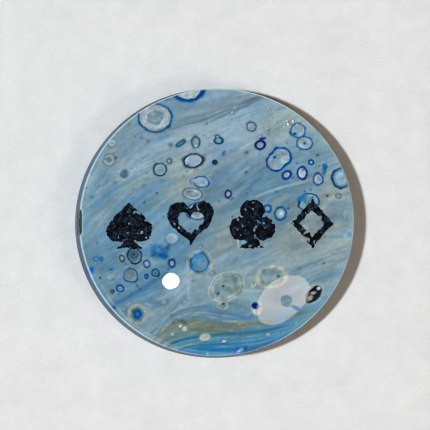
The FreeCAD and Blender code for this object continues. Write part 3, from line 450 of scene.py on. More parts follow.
    (1.64, -11.85, 3.42, 2.65, 36, 0.03, [(0, (146, 168, 170), 1), (0.4, (142, 164, 164), 1), (0.62, (134, 160, 166), 1), (0.7, (130, 158, 166), 1), (0.76, (174, 182, 168), 1), (0.8, (168, 178, 170), 1), (0.85, (122, 150, 162), 1), (0.91, (134, 158, 166), 1), (0.96, (182, 188, 174), 1), (1.0, (166, 178, 174), 0.8), (1.06, (150, 172, 176), 0)], []),
    (3.3, -10.97, 0.88, 0.8, 20, 0.1, [(0, (112, 146, 168), 0.7), (0.5, (116, 150, 168), 0.5), (1.2, (116, 150, 168), 0)], []),
    (0.38, -12.06, 0.97, 0.91, 20, 0.1, [(0, (126, 156, 160), 0.5), (0.6, (126, 156, 160), 0.5), (1.2, (126, 156, 160), 0)], []),
    (1.05, -11.7, 0.18, 0.18, 0, 0, [(0, (8, 40, 60), 1), (0.8, (10, 50, 70), 0.9), (1.5, (10, 50, 70), 0)], []),
    (0.16, -13.06, 0.3, 0.22, 10, 0.05, [(0, (20, 70, 116), 1), (0.8, (30, 80, 120), 0.8), (1.4, (30, 80, 120), 0)], []),
    (-0.14, -12.61, 0.39, 0.58, -25, 0.1, [(0, (70, 112, 146), 0.6), (1.3, (70, 112, 146), 0)], []),
    (1.0, -15.36, 1.04, 0.71, -8, 0.04, [(0, (140, 164, 168), 1), (0.35, (120, 150, 160), 1), (0.55, (140, 162, 164), 1), (0.72, (182, 188, 176), 1), (0.9, (180, 186, 176), 0.9), (1.15, (140, 164, 170), 0)], []),
    (1.1, -14.97, 0.3, 0.24, 0, 0, [(0, (8, 70, 130), 1), (0.8, (10, 76, 132), 0.9), (1.4, (20, 80, 130), 0)], []),
    (4.61, -9.52, 0.6, 0.54, 0, 0.1, [(0, (150, 176, 176), 0.5), (0.7, (166, 184, 176), 0.6), (1.0, (140, 168, 172), 0.3), (1.4, (140, 168, 172), 0)], []),
    (9.69, -10.11, 2.86, 2.21, 8, 0.04, [(0, (152, 172, 174), 1), (0.3, (146, 168, 172), 1), (0.58, (134, 160, 168), 1), (0.7, (124, 152, 162), 1), (0.76, (160, 176, 170), 1), (0.83, (184, 190, 176), 0.95), (0.9, (166, 180, 172), 0.9), (0.96, (184, 190, 178), 0.9), (1.02, (162, 178, 174), 0.6), (1.1, (150, 172, 176), 0)], []),
    (9.35, -9.19, 1.41, 0.51, 8, 0.1, [(0, (112, 144, 162), 0.55), (0.7, (116, 148, 164), 0.4), (1.2, (112, 146, 164), 0)], []),
    (10.89, -9.94, 0.23, 0.22, 0, 0, [(0, (30, 90, 130), 1), (0.8, (30, 90, 130), 0.9), (1.5, (40, 100, 134), 0)], []),
    (6.46, -11.29, 0.44, 0.8, -18, 0.03, [(0, (104, 140, 158), 1), (0.35, (116, 148, 160), 1), (0.6, (180, 188, 170), 1), (0.9, (186, 192, 176), 0.95), (1.25, (140, 166, 172), 0)], []),
    (7.14, -15.85, 1.09, 1.45, 0, 0.05, [(0, (186, 194, 198), 1), (0.55, (186, 194, 198), 1), (0.75, (190, 196, 194), 1), (0.86, (198, 196, 182), 1), (0.96, (140, 160, 160), 0.7), (1.12, (120, 154, 166), 0)], []),
    (6.82, -15.4, 0.69, 0.65, -35, 0.16, [(0, (0, 26, 92), 1), (0.6, (0, 34, 100), 1), (0.9, (8, 52, 112), 0.95), (1.12, (120, 140, 170), 0)], []),
    (7.19, -15.63, 0.18, 0.25, 0, 0.05, [(0, (206, 216, 226), 0.9), (1.2, (120, 150, 190), 0)], []),
    (17.46, -13.46, 2.43, 1.67, 47, 0.02, [(0, (160, 178, 172), 0.0), (0.74, (160, 178, 170), 0.0), (0.82, (176, 186, 166), 0.75), (0.9, (150, 172, 166), 0.45), (0.98, (176, 186, 168), 0.6), (1.12, (150, 172, 170), 0)], []),
    (17.48, -13.44, 1.87, 1.14, 48, 0.03, [(0, (24, 30, 40), 1), (0.62, (12, 18, 30), 1), (0.88, (4, 10, 26), 1), (1.0, (8, 30, 80), 0.9), (1.1, (60, 100, 150), 0)], []),
    # painted highlights: the pale grey, white and gold patches inside the dark glossy cell are painted glints
    (16.83, -14.14, 0.69, 0.47, 52, 0.1, [(0, (188, 192, 200), 1), (0.55, (150, 158, 170), 1), (0.85, (196, 160, 84), 0.9), (1.15, (50, 44, 38), 0)], []),
    (17.39, -13.17, 0.6, 0.31, 10, 0.12, [(0, (206, 210, 216), 1), (0.6, (168, 172, 182), 0.9), (0.95, (206, 170, 92), 0.75), (1.2, (40, 36, 34), 0)], []),
    (18.38, -12.34, 0.42, 0.4, 30, 0.05, [(0, (248, 248, 248), 1), (0.6, (236, 238, 240), 1), (0.95, (120, 112, 96), 0.8), (1.3, (10, 18, 32), 0)], []),
    (16.38, -14.74, 0.28, 0.18, 40, 0.05, [(0, (200, 168, 100), 0.9), (1.3, (40, 40, 40), 0)], []),
    (-2.1, -21.28, 1.02, 0.67, 10, 0.04, [(0, (180, 194, 180), 1), (0.6, (190, 200, 184), 1), (0.9, (192, 202, 194), 1), (1.1, (90, 150, 180), 0.4), (1.3, (60, 130, 175), 0)], []),
    (-6.53, -19.14, 0.3, 0.4, -25, 0.05, [(0, (212, 222, 216), 1), (0.7, (196, 208, 200), 0.95), (1.2, (120, 130, 110), 0)], []),
    (-5.75, -19.67, 0.49, 0.54, -30, 0.05, [(0, (160, 176, 176), 1), (0.4, (190, 204, 200), 1), (0.8, (186, 200, 194), 0.9), (1.2, (120, 130, 110), 0)], []),
    (-7.95, -20.73, 0.3, 0.31, 0, 0.05, [(0, (196, 206, 190), 1), (0.7, (186, 196, 180), 0.9), (1.3, (120, 130, 110), 0)], []),
    (1.38, -22.09, 0.42, 0.34, 0, 0.2, [(0, (222, 228, 230), 1), (0.6, (206, 216, 220), 1), (0.9, (120, 150, 190), 0.8), (1.2, (40, 110, 170), 0)], []),
    (1.39, -22.48, 0.35, 0.18, 0, 0.1, [(0, (10, 50, 120), 1), (1.3, (10, 60, 130), 0)], []),
    (9.33, -20.82, 0.41, 0.29, 0, 0.2, [(0, (210, 220, 226), 1), (0.6, (190, 206, 216), 0.9), (1.2, (90, 140, 180), 0)], []),
    (7.54, -19.48, 0.42, 0.15, 0, 0.1, [(0, (180, 196, 206), 0.8), (1.3, (120, 150, 170), 0)], []),
    (4.09, -18.86, 0.23, 0.16, 0, 0.1, [(0, (200, 210, 214), 0.9), (1.3, (160, 170, 160), 0)], []),
    (14.66, -18.86, 0.16, 0.47, 20, 0.1, [(0, (170, 190, 200), 0.8), (1.3, (120, 150, 165), 0)], []),
    (4.6, -23.66, 1.06, 0.58, 20, 0.3, [(0, (150, 180, 196), 0.9), (0.5, (90, 150, 200), 0.8), (1.0, (20, 80, 160), 0.7), (1.3, (20, 90, 160), 0)], []),
    (4.06, -24.04, 0.46, 0.24, 10, 0.3, [(0, (206, 200, 214), 0.95), (0.7, (190, 190, 210), 0.8), (1.3, (100, 150, 200), 0)], []),
    (5.14, -23.49, 0.32, 0.22, -20, 0.3, [(0, (16, 60, 100), 1), (0.7, (20, 70, 110), 0.8), (1.3, (20, 70, 110), 0)], []),
    (3.67, -23.26, 0.19, 0.24, 0, 0.2, [(0, (0, 70, 150), 0.9), (1.3, (0, 70, 150), 0)], []),
    (-1.55, -24.4, 0.25, 0.33, 0, 0.2, [(0, (220, 226, 230), 0.9), (1.3, (120, 170, 210), 0)], []),
    (-12.26, 15.03, 0.46, 0.29, 5, 0.1, [(0, (118, 122, 104), 0.9), (0.7, (122, 128, 112), 0.7), (1.3, (122, 128, 112), 0)], []),
    (-15.68, 13.34, 0.35, 0.31, 0, 0.2, [(0, (160, 178, 160), 0.6), (1.4, (160, 178, 160), 0)], []),
    (3.24, 21.05, 0.53, 0.25, 40, 0.2, [(0, (180, 188, 180), 0.7), (0.7, (160, 170, 160), 0.5), (1.3, (140, 150, 150), 0)], []),
    (2.67, 19.99, 0.42, 0.22, 40, 0.2, [(0, (170, 186, 190), 0.6), (1.3, (150, 160, 160), 0)], []),
    (-1.15, 22.05, 0.28, 0.22, 0, 0.2, [(0, (186, 204, 208), 0.8), (1.3, (160, 186, 198), 0)], []),
    (-8.89, 23.0, 0.28, 0.25, 0, 0.1, [(0, (20, 80, 160), 0.9), (1.3, (30, 90, 160), 0)], []),
    (-15.44, 21.66, 0.26, 0.27, 0, 0.2, [(0, (30, 66, 90), 0.6), (1.3, (30, 66, 90), 0)], []),
]
DOTS = [
    (-10.74, 5.35, 0.23, (34, 84, 140), 0.9),
    (-12.97, 3.73, 0.21, (40, 96, 146), 0.85),
    (-23.63, 6.53, 0.21, (58, 86, 104), 0.9),
    (-22.5, 4.91, 0.39, (66, 136, 180), 0.8),
    (-21.58, -3.74, 0.26, (64, 122, 176), 0.8),
    (0.22, 3.68, 0.23, (50, 96, 140), 0.9),
    (19.82, 4.68, 0.21, (16, 44, 92), 0.95),
    (12.56, 2.36, 0.21, (20, 60, 120), 0.95),
    (15.57, 5.51, 0.16, (40, 62, 90), 0.9),
    (14.23, 10.67, 0.16, (40, 70, 110), 0.8),
    (19.22, -7.68, 0.21, (110, 78, 84), 0.85),
    (18.16, 12.28, 0.21, (30, 60, 96), 0.9),
    (5.1, 9.04, 0.21, (20, 56, 120), 0.9),
    (-0.1, 9.07, 0.21, (80, 116, 140), 0.8),
    (-6.0, 8.4, 0.19, (70, 110, 150), 0.8),
    (-16.37, -7.67, 0.21, (30, 96, 154), 0.9),
    (-5.41, 9.31, 0.18, (70, 110, 140), 0.6),
    (-21.6, -7.64, 0.19, (96, 116, 140), 0.7),
    (5.27, 5.2, 0.18, (40, 84, 140), 0.7),
    (2.58, 0.94, 0.19, (30, 90, 160), 0.8),
    (2.07, -0.78, 0.23, (60, 130, 190), 0.8),
    (-4.9, -1.28, 0.18, (40, 80, 110), 0.7),
    (9.35, 16.86, 0.28, (70, 126, 160), 0.6),
    (4.11, 23.1, 0.19, (90, 140, 170), 0.6),
    (2.74, 22.71, 0.21, (100, 142, 170), 0.6),
    (16.96, 12.91, 0.18, (90, 130, 170), 0.6),
    (13.49, 7.95, 0.18, (30, 64, 140), 0.8),
    (-13.6, -7.63, 0.16, (60, 110, 150), 0.5),
    (18.37, 10.22, 0.18, (70, 100, 130), 0.6),
    (17.81, 10.4, 0.14, (70, 110, 130), 0.6),
    (16.84, 8.9, 0.16, (100, 130, 140), 0.5),
    (8.23, 12.17, 0.14, (120, 150, 170), 0.4),
    (-8.12, -17.17, 0.21, (40, 90, 130), 0.7),
    (-0.3, 6.51, 0.21, (90, 130, 155), 0.6),
    (5.9, 5.74, 0.21, (70, 120, 165), 0.5),
    (21.49, 5.62, 0.14, (120, 130, 120), 0.6),
]
FP = [(x, y) for x, y, a in FLOW]
FA = [a for x, y, a in FLOW]
VEC = spread(FP, [(math.cos(math.radians(a)), math.sin(math.radians(a))) for a in FA], 6.0, 4.5, FA)
WOB = noise(3.6) * 0.15
VX = VEC[..., 0] - WOB * VEC[..., 1]
VY = VEC[..., 1] + WOB * VEC[..., 0]
VX, VY = VX / np.hypot(VX, VY), VY / np.hypot(VX, VY)


def smear(fields, lengths):
    """Draws noise fields out along the flow, as paint is when it runs."""
    a = np.stack(fields, -1).astype(np.float32)
    v = np.stack([VX, VY], -1).astype(np.float32)
    ns = [max(2, int(l / 0.5)) for l in lengths]
    out, total = a.copy(), np.ones(len(ns), np.float32)
    for sign in (1, -1):
        gx = ((X + HALF) / GRID).astype(np.float32)
        gy = ((Y + HALF) / GRID).astype(np.float32)
        for i in range(max(ns)):
            d = sample(v, gx, gy)
            gx = gx + sign * d[..., 0] * (0.25 / GRID)
            gy = gy + sign * d[..., 1] * (0.25 / GRID)
            w = np.array([0.5 + 0.5 * math.cos(math.pi * (i + 1) / (n + 1)) if i < n else 0.0 for n in ns], np.float32)
            out += w * sample(a, gx, gy)
            total += w
    out -= out.mean((0, 1))
    out /= out.std((0, 1))
    return [out[..., k].astype(float) for k in range(len(ns))]


FINE, MID, BIG, HUE, THREAD = smear([noise(0.10), noise(0.28), noise(0.8), noise(0.55), noise(0.16)], (4.0, 8.0, 13.0, 11.0, 9.0))
MOTTLE, GRAIN, DAB = noise(1.2), noise(0.22), noise(0.5)
def angle_at(x, y):
    return math.degrees(math.atan2(at(VY, x, y), at(VX, x, y)))


paint = spread([(p[0], p[1]) for p in GROUND], [PAINTS[p[2]] for p in GROUND], 3.3, 1.55, [angle_at(p[0], p[1]) for p in GROUND])
paint = paint * np.exp(0.030 * MID + 0.014 * FINE + 0.022 * BIG)[..., None]


def lay(colour, alpha, win=None):
    """Lays a colour over the field."""
    if win is None:
        win = (slice(None), slice(None))
    a = np.clip(alpha, 0, 1)[..., None]
    paint[win] = paint[win] * (1 - a) + np.asarray(colour, float) * a


# thin drawn-out veins of bluer, paler and greyer paint
lay((84, 134, 178), 0.34 * smooth(0.6, 1.9, HUE + 0.35 * FINE))
lay((170, 188, 196), 0.30 * smooth(0.7, 2.0, -HUE + 0.3 * MID))
lay((148, 158, 152), 0.20 * smooth(0.9, 2.2, MID - 0.5 * HUE + 0.3 * BIG))
lay((96, 130, 152), 0.28 * smooth(1.1, 2.1, THREAD + 0.2 * FINE))
lay((176, 194, 202), 0.20 * smooth(1.2, 2.2, -THREAD + 0.2 * FINE))


def window(x0, y0, x1, y1):
    i0, i1 = np.searchsorted(AX, x0), np.searchsorted(AX, x1)
    j0, j1 = np.searchsorted(AX, y0), np.searchsorted(AX, y1)
    return slice(max(j0, 0), max(j1, 0)), slice(max(i0, 0), max(i1, 0))


def curve(points, step=0.35):
    """Catmull-Rom line through the points, with how far along each sample is, 0 to 1."""
    p = np.array(points, float)
    p = np.vstack([2 * p[0] - p[1], p, 2 * p[-1] - p[-2]])
    out = []
    for i in range(1, len(p) - 2):
        n = max(2, int(np.hypot(*(p[i + 1] - p[i])) / step))
        t = np.linspace(0, 1, n, endpoint=False)[:, None]
        out.append(
            0.5 * (2 * p[i] + (p[i + 1] - p[i - 1]) * t + (2 * p[i - 1] - 5 * p[i] + 4 * p[i + 1] - p[i + 2]) * t**2
                   + (3 * p[i] - p[i - 1] - 3 * p[i + 1] + p[i + 2]) * t**3)
        )
    q = np.vstack(out + [p[-2][None]])
    s = np.concatenate([[0], np.cumsum(np.hypot(*np.diff(q, axis=0).T))])
    return q, s / s[-1]


def run(points, width, colour, opacity, feather):
    """A drawn-out run of paint along a line."""
    q, s = curve(points)
    m = max(width) + feather + 0.3
    win = window(q[:, 0].min() - m, q[:, 1].min() - m, q[:, 0].max() + m, q[:, 1].max() + m)
    x, y = X[win], Y[win]
    if x.size == 0:
        return
    best, along = np.full(x.shape, 1e9), np.zeros(x.shape)
    for i in range(len(q) - 1):
        d = q[i + 1] - q[i]
        l2 = d @ d + 1e-12
        t = np.clip(((x - q[i, 0]) * d[0] + (y - q[i, 1]) * d[1]) / l2, 0, 1)
        r = np.hypot(x - q[i, 0] - t * d[0], y - q[i, 1] - t * d[1])
        k = r < best
        best = np.where(k, r, best)
        along = np.where(k, s[i] + t * (s[i + 1] - s[i]), along)
    w = np.interp(along, [0, 0.45, 1], width)
    r = best * (1 + 0.10 * MID[win]) + 0.05 * w * FINE[win]
    taper = smooth(0.0, 0.07, along) * smooth(1.0, 0.93, along) * 0.7 + 0.3
    a = smooth(w / 2 + feather / 2, w / 2 - feather / 2, r) * opacity * taper
    c = np.array(colour, float) * np.exp(0.04 * FINE + 0.04 * THREAD)[win][..., None]
    lay(c, a * (0.92 + 0.10 * FINE[win]), win)


for item in RUNS:
    run(*item)


LINE = np.full(X.shape, 0.6)           # signed distance, in mm, to the nearest cell's dark outline


def cell(cx, cy, a, b, tilt, rough, stops, lobes):
    """A cell: rings of paint round a centre, given as (share of radius, colour, opacity)."""
    top = stops[-1][0]
    m = max(a, b) * (top + rough * 2) + 0.3
    for lb in lobes:
        m = max(m, math.hypot(lb[0], lb[1]) + max(lb[2], lb[3]) * top + 0.3)
    win = window(cx - m, cy - m, cx + m, cy + m)
    x, y = X[win], Y[win]
    if x.size == 0:
        return
    c, s = math.cos(math.radians(tilt)), math.sin(math.radians(tilt))
    u = (x - cx) * c + (y - cy) * s
    v = -(x - cx) * s + (y - cy) * c
    th = np.arctan2(v / b, u / a)
    rho = np.hypot(u / a, v / b)
    wave = sum(
        RNG.uniform(-1, 1) / k**0.7 * np.cos(k * th + RNG.uniform(0, 6.28)) for k in (2, 3, 4, 5, 7)
    )
    rho = rho * (1 + rough * 0.8 * wave)
    for dx, dy, la, lb in lobes:
        r2 = np.hypot((x - cx - dx) / la, (y - cy - dy) / lb)
        rho = np.minimum(rho, r2)
    rho = rho + (0.035 * GRAIN[win] + 0.03 * DAB[win]) * min(1.0, 0.9 / max(a, b) + 0.25)
    pos = [p for p, _, _ in stops]
    col = np.stack([np.interp(rho, pos, [q[k] for _, q, _ in stops]) for k in range(3)], -1)
    alpha = np.interp(rho, pos, [o for _, _, o in stops])
    alpha = np.where(rho > top, 0, alpha)
    lay(col * np.exp(0.035 * GRAIN + 0.035 * DAB)[win][..., None], alpha, win)
    dark = [(sum(q), p) for p, q, o in stops if p >= 0.5 and o > 0.85]
    if min(a, b) < 0.5 or not dark or min(dark)[0] > 330:
        return
    low = min(dark)[0]
    at_rho = np.mean([p for s_, p in dark if s_ < low + 25])
    reach = math.sqrt(a * b) if lobes else np.hypot(x - cx, y - cy) / np.maximum(rho, 1e-3)
    d = np.clip((rho - at_rho) * reach, -0.6, 0.6)
    LINE[win] = np.where((rho < at_rho) | (np.abs(d) < np.abs(LINE[win])), d, LINE[win])


# a scatter of small, faint cells that the larger ones sit among
for i in range(120):
    r, t = 24.3 * math.sqrt(RNG.uniform(0, 1)), RNG.uniform(0, 2 * math.pi)
    x, y, z = r * math.cos(t), r * math.sin(t), RNG.uniform(0.16, 0.42)
    here = at(paint, x, y)
    dark, light = here * 0.66 + np.array([0, 16, 34]), here * 0.72 + np.array([60, 62, 62])
    kind = RNG.randint(3)
    if kind == 0:
        st = [(0, here, 0.8), (0.4, light, 0.8), (0.75, dark, 0.75), (1.05, dark, 0.5), (1.4, here, 0)]
    elif kind == 1:
        st = [(0, dark, 0.85), (0.5, dark, 0.7), (0.9, light, 0.55), (1.5, here, 0)]
    else:
        st = [(0, dark, 0.7), (0.8, dark, 0.5), (1.4, here, 0)]
        z *= 0.7
    cell(x, y, z * RNG.uniform(0.9, 1.5), z, angle_at(x, y), 0.08, [(p, tuple(q), o) for p, q, o in st], [])

for item in CELLS:
    cell(*item)
for x, y, r, c, al in DOTS:
    cell(x, y, r, r, 0, 0.05, [(0, c, al), (0.7, c, al), (1.35, c, 0)], [])

paint *= np.exp(0.018 * GRAIN + 0.02 * MOTTLE)[..., None]
paint = np.clip(paint, 0, 250)

# ---- mesh helpers (all lengths given in millimetres) -------------------------------
def make(name, verts, faces, colours=None, flat=False):
    me = bpy.data.meshes.new(name)
    v = np.asarray(verts, np.float32) * MM
    me.vertices.add(len(v))
    me.vertices.foreach_set("co", v.ravel())
    groups = [np.asarray(f, np.int32) for f in faces if len(f)]
    total = sum(f.size for f in groups)
    me.loops.add(total)
    me.loops.foreach_set("vertex_index", np.concatenate([f.ravel() for f in groups]))
    sizes = np.concatenate([np.full(len(f), f.shape[1]) for f in groups])
    me.polygons.add(len(sizes))
    me.polygons.foreach_set("loop_start", np.concatenate([[0], np.cumsum(sizes)[:-1]]).astype(np.int32))
    me.polygons.foreach_set("loop_total", sizes.astype(np.int32))
    me.update(calc_edges=True)
    me.polygons.foreach_set("use_smooth", np.full(len(sizes), not flat))
    if colours is not None:
        a = me.attributes.new("paint", "FLOAT_COLOR", "POINT")
        a.data.foreach_set("color", np.hstack([colours, np.ones((len(colours), 1))]).astype(np.float32).ravel())
    me.validate()
    o = bpy.data.objects.new(name, me)
    scene.collection.objects.link(o)
    return o


def ring_faces(a, b, n):
    """Quads between two rings of n vertices starting at a (inner or upper) and b."""
    i = np.arange(n)
    j = (i + 1) % n
    return np.stack([a + i, a + j, b + j, b + i], 1)


def lathe(profile, n, start=0.0):
    """Vertices and faces of a closed solid turned from (r, z) points; first and last points may be on the axis."""
    t = np.arange(n) / n * 2 * math.pi + start
    verts, rows = [], []
    for r, z in profile:
        if r < 1e-6:
            rows.append((len(verts), 1))
            verts.append((0.0, 0.0, z))
        else:
            rows.append((len(verts), n))
            verts.extend(zip(r * np.cos(t), r * np.sin(t), np.full(n, z)))
    quads, tris = [], []
    for (a, na), (b, nb) in zip(rows, rows[1:]):
        i = np.arange(n)
        j = (i + 1) % n
        if na == 1:
            tris.append(np.stack([np.full(n, a), b + i, b + j], 1))
        elif nb == 1:
            tris.append(np.stack([a + i, np.full(n, b), a + j], 1))
        else:
            quads.append(np.stack([a + i, b + i, b + j, a + j], 1))
    return np.array(verts), [np.vstack(quads) if quads else [], np.vstack(tris) if tris else []]


def arc(cr, cz, rad, a0, a1, n):
    t = np.radians(np.linspace(a0, a1, n))
    return [(cr + rad * math.cos(v), cz + rad * math.sin(v)) for v in t]


# ---- node helpers ------------------------------------------------------------------
def material(name):
    m = bpy.data.materials.new(name)
    m.use_nodes = True
    nt = m.node_tree
    nt.nodes.clear()
    out = nt.nodes.new("ShaderNodeOutputMaterial")
    return m, nt, out


def add(nt, kind, **kw):
    n = nt.nodes.new(kind)
    for k, v in kw.items():
        if k.startswith("_"):
            setattr(n, k[1:], v)
        else:
            n.inputs[k.replace("__", " ")].default_value = v
    return n


def link(nt, a, b):
    nt.links.new(a, b)


def coords(nt, scale=(1, 1, 1)):
    tc = nt.nodes.new("ShaderNodeTexCoord")
    mp = nt.nodes.new("ShaderNodeMapping")
    mp.inputs["Scale"].default_value = scale
    link(nt, tc.outputs["Object"], mp.inputs["Vector"])
    return mp.outputs["Vector"]


def noise_node(nt, vec, size_mm, detail=3.0, rough=0.55, distort=0.0):
    n = nt.nodes.new("ShaderNodeTexNoise")
    n.inputs["Scale"].default_value = 1000.0 / size_mm
    n.inputs["Detail"].default_value = detail
    n.inputs["Roughness"].default_value = rough
    n.inputs["Distortion"].default_value = distort
    link(nt, vec, n.inputs["Vector"])
    return n.outputs["Fac"]


def ramp(nt, fac, stops, interp="LINEAR"):
    r = nt.nodes.new("ShaderNodeValToRGB")
    r.color_ramp.interpolation = interp
    e = r.color_ramp.elements
    while len(e) < len(stops):
        e.new(0.5)
    for k, (p, c) in zip(e, stops):
        k.position = p
        k.color = (*c, 1.0) if len(c) == 3 else c
    link(nt, fac, r.inputs["Fac"])
    return r.outputs["Color"]


def math_node(nt, op, a, b=None, c=None, clamp=False):
    n = nt.nodes.new("ShaderNodeMath")
    n.operation = op
    n.use_clamp = clamp
    for i, v in enumerate((a, b, c)):
        if v is None:
            continue
        if isinstance(v, (int, float)):
            n.inputs[i].default_value = v
        else:
            link(nt, v, n.inputs[i])
    return n.outputs[0]


def range_node(nt, v, a, b, lo, hi):
    n = nt.nodes.new("ShaderNodeMapRange")
    n.inputs["From Min"].default_value = a
    n.inputs["From Max"].default_value = b
    n.inputs["To Min"].default_value = lo
    n.inputs["To Max"].default_value = hi
    link(nt, v, n.inputs["Value"])
    return n.outputs["Result"]


def mix_colour(nt, fac, a, b, blend="MIX"):
    n = nt.nodes.new("ShaderNodeMix")
    n.data_type = "RGBA"
    n.blend_type = blend
    ins = {s.identifier: s for s in n.inputs}
    for key, v in (("Factor_Float", fac), ("A_Color", a), ("B_Color", b)):
        if isinstance(v, (int, float)):
            ins[key].default_value = v
        elif isinstance(v, tuple):
            ins[key].default_value = (*v, 1.0)
        else:
            link(nt, v, ins[key])
    return next(s for s in n.outputs if s.identifier == "Result_Color")


def bump(nt, height, strength, distance_mm):
    b = nt.nodes.new("ShaderNodeBump")
    b.inputs["Strength"].default_value = strength
    b.inputs["Distance"].default_value = distance_mm * MM
    link(nt, height, b.inputs["Height"])
    return b.outputs["Normal"]


def finish_with(nt, out, bsdf):
    link(nt, bsdf, out.inputs["Surface"])


def give(o, m):
    o.data.materials.clear()
    o.data.materials.append(m)


def C(*c):
    return tuple(float(v) for v in linear(c))


# ---- the paint skin ----------------------------------------------------------------
R_SKIN, Z_SKIN, Z_FOOT = 24.98, 4.0, 0.86
N = 288


def square_to_disc(n):
    """A grid over a disc of radius 1 with even cells; returns points and quads, plus the rim's indices in order."""
    a = np.linspace(-1, 1, n + 1)
    x, y = np.meshgrid(a, a)
    u = x * np.sqrt(np.maximum(1 - y * y / 2, 0))
    v = y * np.sqrt(np.maximum(1 - x * x / 2, 0))
    m = np.maximum(abs(x), abs(y))
    r = np.hypot(x, y) + 1e-12
    cu, cv = x * m / r, y * m / r            # concentric squares pushed out to circles
    k = 0.62
    u, v = u * (1 - k) + cu * k, v * (1 - k) + cv * k
    rim = np.concatenate([
        np.arange(n), (np.arange(n) * (n + 1)) + n, np.arange(n * (n + 2), n * (n + 1), -1), np.arange(n, 0, -1) * (n + 1)
    ])
    idx = np.arange((n + 1) ** 2).reshape(n + 1, n + 1)
    quads = np.stack([idx[:-1, :-1].ravel(), idx[:-1, 1:].ravel(), idx[1:, 1:].ravel(), idx[1:, :-1].ravel()], 1)
    return np.stack([u.ravel(), v.ravel()], 1), quads, rim


def run_out(y, z):
    """How far the trimmed paint run at the gate stands out beyond the side, in mm."""
    w = smooth(2.62, 2.38, np.abs(y - 0.15))
    return w * np.interp(z, [0.86, 3.7], [0.03, 0.012])


disc, quads, rim = square_to_disc(N)
top = np.hstack([disc * (R_SKIN - 0.18), np.full((len(disc), 1), Z_SKIN)])
rimdir = disc[rim] / np.hypot(*disc[rim].T)[:, None]
M = len(rim)
theta = np.arctan2(rimdir[:, 1], rimdir[:, 0])
LIP = np.random.RandomState(21)
ragged = sum(LIP.uniform(0.3, 1) / k**0.8 * np.cos(k * theta + LIP.uniform(0, 6.3)) for k in (3, 7, 13, 22, 37, 61))
ragged = ragged / np.abs(ragged).max()
deg = np.degrees(theta) % 360
bead = 0.19 + 0.035 * ragged + 0.12 * np.exp(-(((deg - 118) / 18) ** 2)) - 0.06 * np.exp(-(((deg - 196) / 28) ** 2)) + 0.08 * np.exp(-(((deg - 276) / 13) ** 2))
rings = []
levels = arc(R_SKIN - 0.18, Z_SKIN - 0.18, 0.18, 72, 0, 4) + [(R_SKIN, z) for z in (3.45, 3.0, 2.5, 2.0, 1.5, 1.05)] + [(R_SKIN - 0.03, Z_FOOT)]
for r, z in levels:
    low = smooth(3.85, 1.25, z)
    rr = r + bead * low
    p = rimdir * (np.asarray(rr)[..., None] if np.ndim(rr) else rr)
    left = p[:, 0] < 0
    p[:, 0] = np.where(left, p[:, 0] - run_out(p[:, 1], z), p[:, 0])
    zz = z + (0.07 * ragged * smooth(1.3, 0.86, z) if z < 1.3 else 0)
    rings.append(np.column_stack([p, np.full(M, z) + (zz - z)]))
verts = np.vstack([top] + rings)
faces4 = [quads]
base = len(top)
i = np.arange(M)
j = (i + 1) % M
faces4.append(np.stack([rim[i], base + i, base + j, rim[j]], 1))
for k in range(len(levels) - 1):
    a, b = base + k * M, base + (k + 1) * M
    faces4.append(np.stack([a + i, b + i, b + j, a + j], 1))
# turned-under foot, inner side and ceiling, which meet the backing disc
inner = [(24.62, Z_FOOT + 0.02), (24.62, 3.62)]
for r, z in inner:
    verts = np.vstack([verts, np.column_stack([rimdir * r, np.full(M, z)])])
last = base + (len(levels) - 1) * M
for k in range(len(inner)):
    a, b = last + k * M, last + (k + 1) * M
    faces4.append(np.stack([a + i, b + i, b + j, a + j], 1))
ceil = last + len(inner) * M
verts = np.vstack([verts, [[0, 0, 3.62]]])
faces3 = [np.stack([ceil + i, np.full(M, len(verts) - 1), ceil + j], 1)]

# colour: the pattern on top; on the side the same streams run down, darker and blurred into the edge
col = np.zeros((len(verts), 3))
col[:base] = at(paint, top[:, 0], top[:, 1])
edge = at(paint, rimdir[:, 0] * 24.3, rimdir[:, 1] * 24.3)
for k in range(len(levels) + len(inner)):
    z = (levels + inner)[k][1]
    d = np.clip((Z_SKIN - z) / 3.1, 0, 1)
    slide = int(M * 0.006 * d)
    e = np.roll(edge, slide, 0)
    shade = np.interp(d, [0, 0.03, 0.12, 1], [1.0, 0.9, SIDE_TONE, SIDE_TONE * 0.94])
    tint = np.interp(d, [0, 0.1], [0, 0.35])
    deep = 1 + (np.array(SIDE_HUE) - 1) * np.interp(d, [0.02, 0.12], [0, 1])       # the side turns bluer and greener, and less red, below the top edge
    col[base + k * M: base + (k + 1) * M] = (e * (1 - tint) + np.array([62, 84, 96]) * tint) * shade * deep
cut = -24.22 - 0.30 * smooth(2.02, 2.42, np.abs(verts[:, 1] - 0.15))          # trapezoid end of the trimmed gate
on_top = verts[:, 2] > 3.9
near_gate = (np.abs(verts[:, 1] - 0.15) < 2.5) & (verts[:, 0] < -23)
painted_shade_in_cut = on_top & near_gate & (verts[:, 0] < cut)
# painted highlight: a thin bright line along the inner edge of the gate cut; painted shade: the paint inside the cut is
# made dark
painted_arris_highlight = np.exp(-(((verts[:, 0] - cut - 0.16) / 0.13) ** 2)) * (on_top & near_gate) * smooth(2.7, 2.45, np.abs(verts[:, 1] - 0.15))
col = col * (1 - 0.8 * painted_arris_highlight[:, None]) + 0.8 * painted_arris_highlight[:, None] * np.array([178, 208, 222])
col = np.where(painted_shade_in_cut[:, None], np.array([24, 50, 64]), col)
